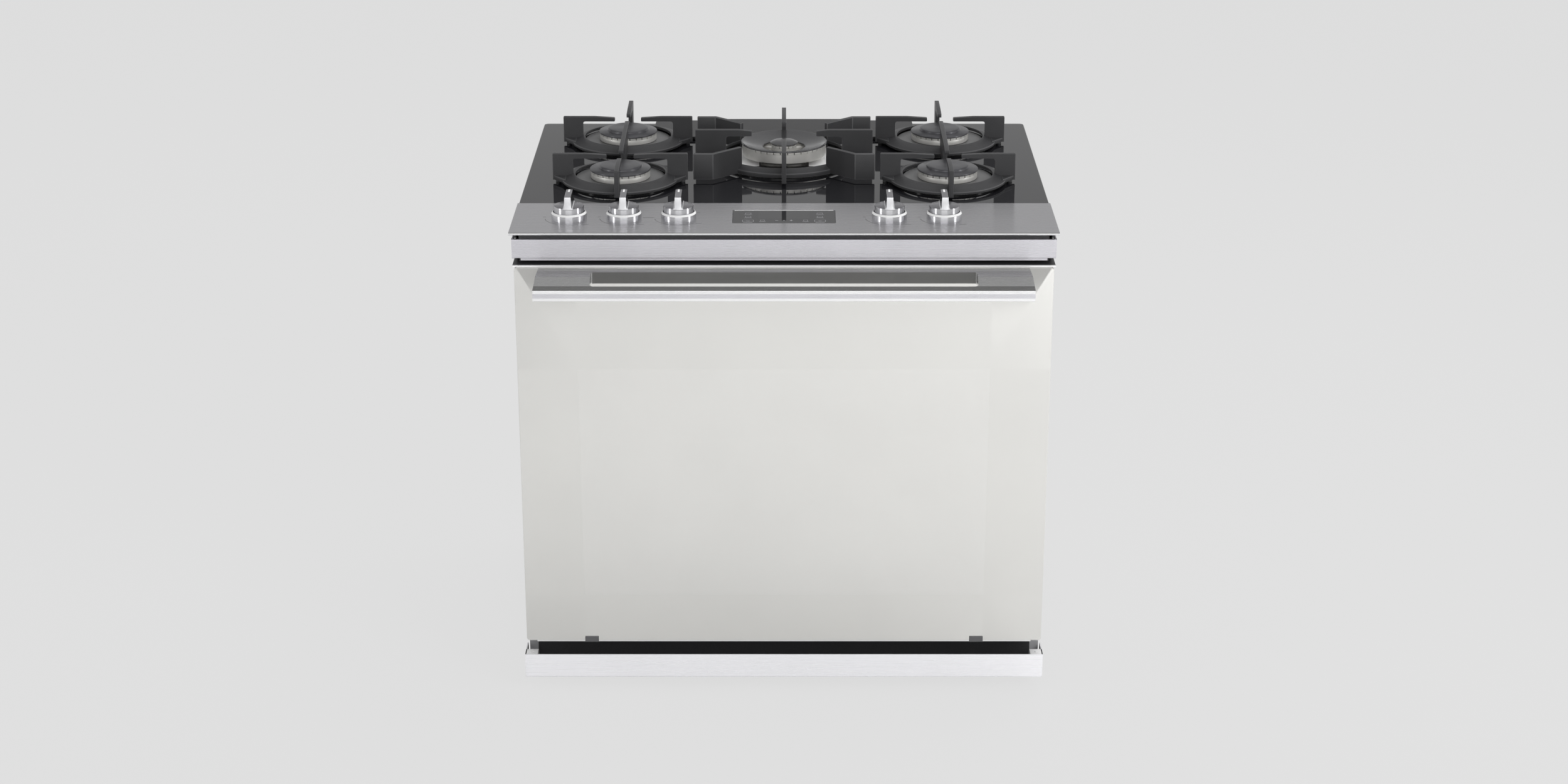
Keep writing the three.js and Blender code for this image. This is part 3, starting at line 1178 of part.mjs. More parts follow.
// Side grate: two rings, one over each corner burner, with side arms, an arm at each end and a bar
// that joins the rings and reaches over both burners. Drawn about the midpoint of its two burners.
function sideGrate() {
  const half = BURNER_SPACING / 2;
  const spots = [-half, half];
  const rings = spots.map((y) => cut(
    join(
      grateRing(RING_INNER, RING_OUTER, RING_EDGE, RING_CREST),
      ...[0, Math.PI].map((angle) => ear(RING_OUTER, RING_EDGE, angle)),
    ),
    rod(RING_INNER, -1, ARM_TOP),
  ).translate(0, y, 0));
  const sideArms = spots.flatMap((y) =>
    [0, Math.PI].map((angle) => arm(cornerArm, angle).translate(0, y, 0)));
  const endArms = mirrored((end) => arm(cornerArm, end * Math.PI / 2).translate(0, end * half, 0));
  const reach = half - ARM_TIP;
  const root = half - (ARM_OUTER - ARM_PLATE);
  const under = ARM_TOP - ARM_FINGER;
  const spine = along('x', [
    [-reach, under], [-reach, ARM_TOP - ARM_TIP_DROP], [-root - ARM_SHOULDER, ARM_TOP],
    [root + ARM_SHOULDER, ARM_TOP], [reach, ARM_TOP - ARM_TIP_DROP], [reach, under],
    [root + ARM_FILLET, under], [root, under - ARM_FILLET], [root, GRATE_CLEARANCE],
    [-root, GRATE_CLEARANCE], [-root, under - ARM_FILLET], [-root - ARM_FILLET, under],
  ], -BAR / 2, BAR / 2);
  const padX = ARM_OUTER - 2 * PAD_RADIUS;
  const pads = spots.flatMap((y) => mirrored((side) => pad(side * padX, y)));
  const room = spots.map((y) => bowlRoom(BOWL_RADIUS, BOWL_SHELF_RADIUS).translate(0, y, 0));
  return cut(join(...rings, ...sideArms, ...endArms, spine, ...pads), ...room);
}

// A corner plate of the centre grate: level with the side grates' arms, then slanted in to the ring.
function cornerPlate(side, end) {
  const y = BURNER_SPACING / 2;
  const inner = CENTRE_RING_INNER + 1;
  const foot = [0.68 * inner, 0.73 * inner];
  const line = [[CENTRE_ARM_OUTER, y + BAR / 2], [CORNER_PLATE_KINK, y + BAR / 2], foot];
  const outline = folded(line, BAR).map(([x, v]) => [side * x, end * v]);
  return along('z', outline, GRATE_CLEARANCE, CORNER_PLATE_TOP);
}

// Centre grate: one ring, four tall arms in a cross and four slanted corner plates.
function centreGrate() {
  const quarters = [0, Math.PI / 2, Math.PI, -Math.PI / 2];
  const ring = grateRing(CENTRE_RING_INNER, CENTRE_RING_OUTER, CENTRE_RING_EDGE, CENTRE_RING_CREST);
  const plates = mirrored((side) => mirrored((end) => cornerPlate(side, end))).flat();
  const padX = (CENTRE_ARM_OUTER + CORNER_PLATE_KINK) / 2;
  const padY = BURNER_SPACING / 2;
  const pads = mirrored((side) => mirrored((end) => pad(side * padX, end * padY))).flat();
  return cut(
    join(ring, ...quarters.map((angle) => arm(centreArm, angle)), ...plates, ...pads),
    bowlRoom(CENTRE_BOWL_RADIUS, CENTRE_BOWL_SHELF),
  );
}

// ---- Door ------------------------------------------------------------------------------------

function doorGlass() {
  const top = doorTop - DOOR_TRIM - SEAT;
  return along('y', roundedRectangle(-halfDoor, halfDoor, DOOR_BOTTOM, top, DOOR_CORNER), 0, DOOR_GLASS);
}

// The side view of the door's pan, drawn a sheet's thickness further in for its hollow. Its lower
// inner edge is round about the hinge, so that it clears the cabinet as the door comes down.
function doorPanProfile(inset, front) {
  const radius = hingeHeight - DOOR_BOTTOM - inset;
  const rear = DOOR_DEPTH - inset;
  const profile = new THREE.Shape();
  profile.moveTo(front, doorTop - inset);
  profile.lineTo(front, DOOR_BOTTOM + inset);
  profile.absarc(hingeY, hingeHeight, radius, -Math.PI / 2, -Math.acos((rear - hingeY) / radius));
  profile.lineTo(rear, doorTop - inset);
  return profile;
}

// Steel pan behind the door's glass: walls, the rim of the window with a groove for the inner pane,
// a bright strip along the top, two clips under the glass and a pocket with a pin for each hinge arm.
function doorFrame() {
  const edge = halfDoor - PAN_INSET;
  const outside = () => along('x', doorPanProfile(0, frontGlass), -edge, edge, 4);
  const hollow = edge - DOOR_SHEET;
  const inside = along('x', doorPanProfile(DOOR_SHEET, frontGlass - 1), -hollow, hollow, 4);
  const rim = block(-halfWindow - WINDOW_RIM, halfWindow + WINDOW_RIM, frontGlass, DOOR_DEPTH,
    windowBottom - WINDOW_RIM, windowTop + WINDOW_RIM);
  const opening = block(-halfWindow, halfWindow, 0, DOOR_DEPTH + 1, windowBottom, windowTop);
  const lap = PANE_LAP + SLIP;
  const groove = block(-halfWindow - lap, halfWindow + lap, innerPane - SLIP, innerPane + INNER_PANE + SLIP,
    windowBottom - lap, windowTop + lap);
  const stripEnd = halfDoor + DOOR_TRIM_OVERHANG;
  const strip = block(-stripEnd, stripEnd, 0.5, DOOR_DEPTH, doorTop - DOOR_TRIM, doorTop);
  const slotFront = hingeY - HINGE_EYE - 2;
  const slotTop = hingeHeight + HINGE_EYE + 7;
  const pockets = mirrored((side) => common(
    outside(),
    block(side * hingeX - HINGE_SLOT, side * hingeX + HINGE_SLOT, slotFront - DOOR_SHEET, DOOR_DEPTH,
      DOOR_BOTTOM, slotTop + DOOR_SHEET),
  ));
  const slots = mirrored((side) => block(side * hingeX - HINGE_SLOT / 2, side * hingeX + HINGE_SLOT / 2,
    slotFront, DOOR_DEPTH + 1, DOOR_BOTTOM - 1, slotTop));
  const pinEnd = HINGE_SLOT - 1;
  const pins = mirrored((side) => bar([side * hingeX - pinEnd, hingeY, hingeHeight],
    [side * hingeX + pinEnd, hingeY, hingeHeight], HINGE_PIN, SHAFT_FACETS));
  const pan = cut(join(cut(outside(), inside), rim, strip, ...pockets), opening, groove, ...slots);
  return join(pan, ...pins, ...mirrored(glassClip));
}

// A clip that holds the lower edge of the door's glass.
function glassClip(side) {
  const [left, right] = [side * clipX - CLIP_WIDTH / 2, side * clipX + CLIP_WIDTH / 2];
  const rear = frontGlass + CLIP_FOOT;
  const low = DOOR_BOTTOM - CLIP_PROUD;
  const line = [[-CLIP_PROUD, DOOR_BOTTOM + CLIP_HEIGHT], [-CLIP_PROUD, low], [rear, low]];
  return join(
    along('x', folded(line, SHEET), left, right),
    block(left, right, frontGlass, rear, DOOR_BOTTOM - 1, DOOR_BOTTOM + 1),
  );
}

function innerWindow() {
  const half = halfWindow + PANE_LAP;
  const outline = roundedRectangle(-half, half, windowBottom - PANE_LAP, windowTop + PANE_LAP, PANE_CORNER);
  return along('y', outline, innerPane, innerPane + INNER_PANE);
}

// Handle: a faceted beam across the door, opened behind its front bar for the fingers.
function handle() {
  const reach = HANDLE_REACH;
  const top = handleTop;
  const nose = top - HANDLE_FRONT_DROP;
  const low = nose - HANDLE_FRONT_HEIGHT;
  const root = top - HANDLE_ROOT;
  const section = new THREE.Shape();
  section.moveTo(-SEAT, top);
  section.lineTo(-0.52 * reach, top - 0.17 * HANDLE_FRONT_DROP);
  section.lineTo(-0.83 * reach, top - 0.75 * HANDLE_FRONT_DROP);
  section.lineTo(HANDLE_EDGE / 2 - reach, nose);
  section.quadraticCurveTo(-reach, nose - HANDLE_EDGE / 3, -reach, nose - HANDLE_EDGE);
  section.lineTo(-reach, low + HANDLE_EDGE);
  section.quadraticCurveTo(-reach, low, HANDLE_EDGE - reach, low);
  section.lineTo(-0.72 * reach, low + HANDLE_EDGE / 2);
  section.lineTo(-0.28 * reach, root);
  section.lineTo(-SEAT, root);
  const beam = along('x', section, -halfHandle, halfHandle, 2);
  const taper = [[-halfHandle, -reach - 1], [halfHandle, -reach - 1], [halfHandle - HANDLE_TAPER, 0],
    [HANDLE_TAPER - halfHandle, 0]];
  const plan = along('z', taper, low - 1, top + 1);
  const halfGrip = halfHandle - GRIP_INSET;
  const grip = roundedRectangle(-halfGrip, halfGrip, GRIP_BAR - reach, -GRIP_RAIL, GRIP_CORNER);
  return cut(common(beam, plan), along('z', grip, low - 2, top + 2));
}

// Hinge arm: an eye round the door's pin and a tail that lies in the front frame's receiver.
function hingeArm() {
  const half = HINGE_ARM_HEIGHT / 2;
  const tail = hingeArmRear - hingeY;
  const opening = Math.asin(half / HINGE_EYE);
  const side = new THREE.Shape();
  side.absarc(0, 0, HINGE_EYE, opening, 2 * Math.PI - opening);
  side.lineTo(tail - HINGE_HOOK + 1, -half);
  side.lineTo(tail, HINGE_HOOK - half);
  side.lineTo(tail, half);
  side.holes.push(roundHole(0, 0, HINGE_PIN + SLIP));
  return along('x', side, -HINGE_ARM / 2, HINGE_ARM / 2, 5).translate(0, hingeY, hingeHeight);
}

// ---- Assembly --------------------------------------------------------------------------------

const range = new THREE.Group();

function place(name, geometry, material, x = 0, y = 0, z = 0) {
  const mesh = new THREE.Mesh(geometry, material);
  mesh.name = name;
  mesh.position.set(x, y, z);
  range.add(mesh);
}

place('base_pan', basePan(), galvanised());
place('side_panel_left', sidePanel(-1), galvanised());
place('side_panel_right', sidePanel(1), galvanised());
place('back_panel', backPanel(), galvanised());
place('front_frame', frontFrame(), greyEnamel());
place('kick_strip', kickStrip(), brushedSteel());
for (const [row, y] of [['front', bodyFront + FRONT_FOOT_SETBACK], ['rear', bodyRear - REAR_FOOT_SETBACK]]) {
  place(`foot_${row}_left`, foot(), softBlack(), -footX, y);
  place(`foot_${row}_right`, foot(), softBlack(), footX, y);
}

place('oven_liner', ovenLiner(), greyEnamel());
place('oven_floor', ovenFloor(), greyEnamel());
place('bake_burner', bakeBurner(), burnerAlloy());
place('oven_lamp', ovenLamp(), clearGlass());
place('insulation', insulation(), wool());
place('door_gasket', doorGasket(), softBlack());
place('rack_upper', ovenRack(), polishedSteel(), 0, 0, rackHeight(UPPER_RACK_LEVEL));
place('rack_lower', ovenRack(), polishedSteel(), 0, 0, rackHeight(LOWER_RACK_LEVEL));

place('burner_box', burnerBox(), galvanised());
place('cooktop_glass', cooktopGlass(), blackGlass());
place('control_panel', controlPanel(), brushedSteel());
place('touch_panel', touchPanel(), blackGlass());
place('front_trim', frontTrim(), brushedSteel());
place('rear_vent', rearVent(), blackSteel());
place('gas_manifold', gasManifold(), brass());

KNOB_XS.forEach((x, i) => {
  place(`valve_stem_${i + 1}`, valveStem(), brass(), x, KNOB_ROW_Y);
  place(`knob_${i + 1}`, knob(), polishedSteel(), x, KNOB_ROW_Y, COOKTOP_HEIGHT);
});

for (const [spot, x, y] of burnerSpots) {
  const bowl = dripBowl(BOWL_RADIUS, BOWL_SHELF_RADIUS);
  place(`drip_bowl_${spot}`, bowl, burnerAlloy(), x, y, COOKTOP_HEIGHT);
  place(`burner_head_${spot}`, cornerHead(), burnerAlloy(), x, y, COOKTOP_HEIGHT);
  place(`burner_cap_${spot}`, cornerCap(), capEnamel(), x, y, COOKTOP_HEIGHT);
}
const centreBowl = dripBowl(CENTRE_BOWL_RADIUS, CENTRE_BOWL_SHELF);
place('drip_bowl_centre', centreBowl, burnerAlloy(), 0, centreY, COOKTOP_HEIGHT);
place('burner_head_centre', centreHead(), burnerAlloy(), 0, centreY, COOKTOP_HEIGHT);
place('burner_cap_centre', crownCap(), capEnamel(), 0, centreY, COOKTOP_HEIGHT);
place('burner_cap_inner', innerCap(), capEnamel(), 0, centreY, COOKTOP_HEIGHT);

place('grate_left', sideGrate(), castIron(), -CORNER_X, centreY, COOKTOP_HEIGHT);
place('grate_centre', centreGrate(), castIron(), 0, centreY, COOKTOP_HEIGHT);
place('grate_right', sideGrate(), castIron(), CORNER_X, centreY, COOKTOP_HEIGHT);

place('door_frame', doorFrame(), greyEnamel());
place('door_glass', doorGlass(), mirrorGlass());
place('inner_window', innerWindow(), clearGlass());
place('handle', handle(), brushedSteel());
place('hinge_arm_left', hingeArm(), galvanised(), -hingeX);
place('hinge_arm_right', hingeArm(), galvanised(), hingeX);

range.position.y = (HANDLE_REACH - COOKTOP_DEPTH) / 2;

export default range;
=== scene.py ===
"""Looks of the freestanding gas range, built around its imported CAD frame.

Each sub-assembly is a class that holds its sizes in millimetres, takes its places from the boxes of
the CAD nodes, builds its meshes and dresses them. Each finish is a frozen dataclass.
"""

import logging
import math
from dataclasses import dataclass
from enum import Enum
from typing import Sequence

import bmesh
import bpy
from mathutils import Matrix, Vector


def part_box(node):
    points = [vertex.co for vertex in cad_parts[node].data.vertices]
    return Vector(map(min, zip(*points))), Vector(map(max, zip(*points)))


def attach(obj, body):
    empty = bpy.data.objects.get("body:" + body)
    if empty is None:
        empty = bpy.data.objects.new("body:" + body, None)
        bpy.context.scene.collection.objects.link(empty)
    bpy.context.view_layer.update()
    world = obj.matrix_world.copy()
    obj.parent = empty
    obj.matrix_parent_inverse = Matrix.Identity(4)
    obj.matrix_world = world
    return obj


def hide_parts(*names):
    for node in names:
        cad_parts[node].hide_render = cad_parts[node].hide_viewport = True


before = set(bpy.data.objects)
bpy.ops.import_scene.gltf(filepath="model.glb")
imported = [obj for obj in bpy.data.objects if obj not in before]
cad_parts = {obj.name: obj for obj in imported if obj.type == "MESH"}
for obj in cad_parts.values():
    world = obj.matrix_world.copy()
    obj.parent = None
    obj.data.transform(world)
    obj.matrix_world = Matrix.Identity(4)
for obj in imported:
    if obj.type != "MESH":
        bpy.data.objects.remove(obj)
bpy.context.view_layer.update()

log = logging.getLogger("gas_range")

MM = 0.001
GRAIN_MAP = "grain"
BROAD_SHARE = 0.015  # of a piece's area, from which a face is shaded flat so that round edges don't bend it

Pair = tuple[float, float]
Triple = tuple[float, float, float]
Piece = bpy.types.Object
Socket = bpy.types.NodeSocket


# ---- Places and shapes ----


class Axis(Enum):
    """The direction that an outline is pushed along; it is drawn in the other two, in order."""

    X = 0
    Y = 1
    Z = 2

    def point(self, u: float, v: float, along: float) -> Triple:
        """Returns the point at (u, v) of the outline, pushed to a place along this axis."""
        return ((along, u, v), (u, along, v), (u, v, along))[self.value]


class Place:
    """The box that a CAD node fills at rest, in millimetres."""

    def __init__(self, node: str) -> None:
        """Reads the box of a node.

        Args:
            node: the CAD node's name.
        """
        low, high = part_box(node)
        self.x0, self.y0, self.z0 = (value / MM for value in low)
        self.x1, self.y1, self.z1 = (value / MM for value in high)
        self.x, self.y, self.z = ((a + b) / 2 / MM for a, b in zip(low, high))


def body(name: str, points: Sequence[Triple], faces: Sequence[Sequence[int]]) -> Piece:
    """Makes a mesh piece with merged corners and outward faces.

    Args:
        name: the piece's name.
        points: its corners in millimetres.
        faces: the corners of each face, by index.

    Returns:
        The new object, at the origin.
    """
    mesh = bpy.data.meshes.new(name)
    mesh.from_pydata([Vector(point) * MM for point in points], [], faces)
    piece = bpy.data.objects.new(name, mesh)
    bpy.context.scene.collection.objects.link(piece)
    close(piece)
    return piece


def close(piece: Piece, gap: float = 1e-3) -> None:
    """Merges the corners of a piece that meet, and turns its faces outwards.

    Args:
        piece: the piece.
        gap: the distance in millimetres below which two corners are one.
    """
    work = bmesh.new()
    work.from_mesh(piece.data)
    bmesh.ops.remove_doubles(work, verts=work.verts, dist=gap * MM)
    bmesh.ops.recalc_face_normals(work, faces=work.faces)
    work.to_mesh(piece.data)
    work.free()


def prism(name: str, outline: Sequence[Pair], axis: Axis, start: float, stop: float) -> Piece:
    """Pushes a closed outline along an axis.

    Args:
        name: the piece's name.
        outline: the corners, in the axis's two other directions.
        axis: the direction of the push.
        start: where the piece begins on the axis.
        stop: where it ends.

    Returns:
        The new object.
    """
    count = len(outline)
    points = [axis.point(u, v, along) for along in (start, stop) for u, v in outline]
    sides = [(i, (i + 1) % count, (i + 1) % count + count, i + count) for i in range(count)]
    return body(name, points, [range(count), range(count, 2 * count), *sides])


def block(name: str, xs: Pair, ys: Pair, zs: Pair) -> Piece:
    """Returns a plain block between two values on each axis."""
    (x0, x1), (y0, y1) = sorted(xs), sorted(ys)
    return prism(name, [(x0, y0), (x1, y0), (x1, y1), (x0, y1)], Axis.Z, *sorted(zs))


def lathe(name: str, profile: Sequence[Pair], x: float, y: float, segments: int = 96) -> Piece:
    """Turns a profile about a vertical line.

    Args:
        name: the piece's name.
        profile: corners as (radius, height). A profile that stays off the line closes on itself.
        x: the line's place across the range.
        y: the line's place from front to rear.
        segments: how many steps make the round.

    Returns:
        The new object.
    """
    points: list[Triple] = []
    for radius, height in profile:
        for i in range(segments):
            turn = 2 * math.pi * i / segments
            points.append((x + radius * math.cos(turn), y + radius * math.sin(turn), height))
    count = len(profile)
    shut = min(profile[0][0], profile[-1][0]) > 0
    faces = []
    for row in range(count if shut else count - 1):
        low, high = row * segments, (row + 1) % count * segments
        for i in range(segments):
            j = (i + 1) % segments
            faces.append((low + i, low + j, high + j, high + i))
    return body(name, points, faces)


def round_bar(
    name: str, radius: float, heights: Pair, x: float = 0.0, y: float = 0.0, segments: int = 24
) -> Piece:
    """Returns an upright round bar between two heights."""
    low, high = heights
    return lathe(name, [(0, low), (radius, low), (radius, high), (0, high)], x, y, segments)


def turned_round(piece: Piece, angle: float, spot: Triple) -> Piece:
    """Turns a piece drawn about the origin and carries it to its place.

    Args:
        piece: the piece.
        angle: its turn about the vertical, in radians.
        spot: its new place.

    Returns:
        The same piece.
    """
    move = Matrix.Translation(Vector(spot) * MM)
    piece.data.transform(move @ Matrix.Rotation(angle, 4, "Z"))
    return piece


def rounded(outline: Sequence[Pair], radii: float | Sequence[float], steps: int = 4) -> list[Pair]:
    """Rounds the corners of a closed outline.

    Args:
        outline: the sharp corners.
        radii: one radius, or one for each corner, with 0 for a corner that stays sharp.
        steps: how many short edges make a round.

    Returns:
        The outline with arcs in place of its corners.
    """
    count = len(outline)
    sizes = [radii] * count if isinstance(radii, (int, float)) else list(radii)
    result: list[Pair] = []
    for i, radius in enumerate(sizes):
        corner = Vector(outline[i])
        back = Vector(outline[i - 1]) - corner
        ahead = Vector(outline[(i + 1) % count]) - corner
        half = back.angle(ahead, math.pi) / 2
        if radius <= 0 or half > 1.55:
            result.append(tuple(corner))
            continue
        reach = min(radius / math.tan(half), 0.49 * back.length, 0.49 * ahead.length)
        start, stop = corner + back.normalized() * reach, corner + ahead.normalized() * reach
        for step in range(steps + 1):
            share = step / steps
            near = start.lerp(corner, share)
            result.append(tuple(near.lerp(corner.lerp(stop, share), share)))
    return result


def rectangle(us: Pair, vs: Pair, radius: float = 0.0, steps: int = 6) -> list[Pair]:
    """Returns the outline of a rectangle with round corners."""
    (u0, u1), (v0, v1) = us, vs
    return rounded([(u0, v0), (u1, v0), (u1, v1), (u0, v1)], radius, steps)


def circle(radius: float, steps: int, u: float = 0.0, v: float = 0.0) -> list[Pair]:
    """Returns the outline of a circle round (u, v)."""
    turns = [2 * math.pi * step / steps for step in range(steps)]
    return [(u + radius * math.cos(turn), v + radius * math.sin(turn)) for turn in turns]


def ring_part(radii: Pair, turns: Pair, steps: int, x: float = 0.0, y: float = 0.0) -> list[Pair]:
    """Outlines a piece of a flat ring.

    Args:
        radii: the ring's inner and outer radius.
        turns: where the piece begins and ends, in radians.
        steps: how many short edges make each arc.
        x: the ring's middle across the range.
        y: its middle from front to rear.

    Returns:
        The closed outline.
    """
    (inner, outer), (start, stop) = radii, turns
    angles = [start + (stop - start) * step / steps for step in range(steps + 1)]
    return [
        (x + radius * math.cos(angle), y + radius * math.sin(angle))
        for radius, way in ((outer, angles), (inner, angles[::-1]))
        for angle in way
    ]


def tube(name: str, path: Sequence[Triple], radius: float, closed: bool = False) -> Piece:
    """Bends a round bar along a path.

    Args:
        name: the piece's name.
        path: the points of its middle line.
        radius: the bar's radius.
        closed: whether the path ends where it starts.

    Returns:
        The bar as a mesh.
    """
    curve = bpy.data.curves.new(name, "CURVE")
    curve.dimensions = "3D"
    curve.bevel_depth = radius * MM
    curve.bevel_resolution = 3
    curve.use_fill_caps = not closed
    spline = curve.splines.new("POLY")
    spline.points.add(len(path) - 1)
    for point, place in zip(spline.points, path):
        point.co = (*(Vector(place) * MM), 1)
    spline.use_cyclic_u = closed
    draft = bpy.data.objects.new(name + "_line", curve)
    bpy.context.scene.collection.objects.link(draft)
    bpy.context.view_layer.update()
    mesh = bpy.data.meshes.new_from_object(draft.evaluated_get(bpy.context.evaluated_depsgraph_get()))
    bpy.data.objects.remove(draft)
    piece = bpy.data.objects.new(name, mesh)
    bpy.context.scene.collection.objects.link(piece)
    close(piece)
    return piece


def settle(piece: Piece) -> Piece:
    """Makes the result of a piece's modifiers its plain mesh.

    Args:
        piece: the piece with its modifiers.

    Returns:
        The same piece, without them.
    """
    bpy.context.view_layer.update()
    graph = bpy.context.evaluated_depsgraph_get()
    mesh = bpy.data.meshes.new_from_object(piece.evaluated_get(graph), depsgraph=graph)
    piece.modifiers.clear()
    piece.data = mesh
    return piece


def bevelled(
    piece: Piece, width: float, segments: int = 3, angle: float = 30.0, paint: int = -1
) -> Piece:
    """Rounds the edges of a piece.

    Args:
        piece: the piece.
        width: how far the round reaches from each edge.
        segments: how many strips make it.
        angle: the least angle between two faces, in degrees, at which their edge is rounded.
        paint: the material slot of the strips, or -1 for that of the faces beside them.

    Returns:
        The same piece.
    """
    bevel = piece.modifiers.new("bevel", "BEVEL")
    bevel.width = width * MM
    bevel.segments = segments
    bevel.limit_method = "ANGLE"
    bevel.angle_limit = math.radians(angle)
    bevel.material = paint
    return settle(piece)


def cut(piece: Piece, *tools: Piece) -> Piece:
    """Takes shapes out of a piece.

    Args:
        piece: the piece.
        *tools: the shapes, which are removed afterwards.

    Returns:
        The same piece.
    """
    for tool in tools:
        carve = piece.modifiers.new("cut", "BOOLEAN")
        carve.operation = "DIFFERENCE"
        carve.solver = "EXACT"
        carve.object = tool
    settle(piece)
    for tool in tools:
        bpy.data.objects.remove(tool)
    close(piece)
    return piece


def split(piece: Piece, place: Triple, normal: Triple) -> None:
    """Cuts the faces of a piece in two where a plane crosses them.

    Args:
        piece: the piece, which stays whole.
        place: a point of the plane, in millimetres.
        normal: the plane's normal.
    """
    work = bmesh.new()
    work.from_mesh(piece.data)
    everything = [*work.verts, *work.edges, *work.faces]
    bmesh.ops.bisect_plane(work, geom=everything, plane_co=Vector(place) * MM, plane_no=normal)
    work.to_mesh(piece.data)
    work.free()


def fuse(name: str, *pieces: Piece) -> Piece:
    """Makes one object of several, each part keeping its finish.

    Args:
        name: the name of the result.
        *pieces: the objects that it is made of.

    Returns:
        The first object, with the others in it.
    """
    first = pieces[0]
    if len(pieces) > 1:
        with bpy.context.temp_override(active_object=first, selected_editable_objects=list(pieces)):
            bpy.ops.object.join()
    first.name = name
    first.data.name = name
    return first


def melded(name: str, *pieces: Piece) -> Piece:
    """Makes one closed body of pieces that run into each other.

    Args:
        name: the name of the result.
        *pieces: the pieces, with the same material slots.

    Returns:
        The first piece, grown by the others.
    """
    first, *others = pieces
    for other in others:
        grow = first.modifiers.new("meld", "BOOLEAN")
        grow.operation = "UNION"
        grow.solver = "MANIFOLD"
        grow.object = other
    settle(first)
    for other in others:
        bpy.data.objects.remove(other)
    close(first)
    first.name = name
    return first


class Layout(Enum):
    """How a repeated shape is laid out."""

    LINE = "line"
    RING = "ring"


class Graph:
    """A tree of nodes under construction."""

    def __init__(self, tree: bpy.types.NodeTree) -> None:
        """Starts on a tree.

        Args:
            tree: the tree that the nodes go into.
        """
        self.tree = tree

    def node(self, kind: str, feeds: dict | None = None, **settings: object) -> bpy.types.Node:
        """Adds a node.

        Args:
            kind: the node's type.
            feeds: the socket that is linked to an input, or the input's value, by its name or number.
            **settings: values for the node's properties.

        Returns:
            The node.
        """
        node = self.tree.nodes.new(kind)
        for key, value in settings.items():
            setattr(node, key, value)
        for key, value in (feeds or {}).items():
            if isinstance(value, Socket):
                self.link(value, node.inputs[key])
            else:
                node.inputs[key].default_value = value
        return node

    def link(self, source: Socket, target: Socket) -> None:
        """Joins two sockets of the tree."""
        self.tree.links.new(source, target)

    def maths(self, operation: str, first: Socket | float, second: Socket | float = 0.0) -> Socket:
        """Works out a sum.

        Args:
            operation: the kind of sum.
            first: its first value.
            second: its second value, if it takes one.

        Returns:
            The socket of the result.
        """
        return self.node("ShaderNodeMath", {0: first, 1: second}, operation=operation).outputs[0]


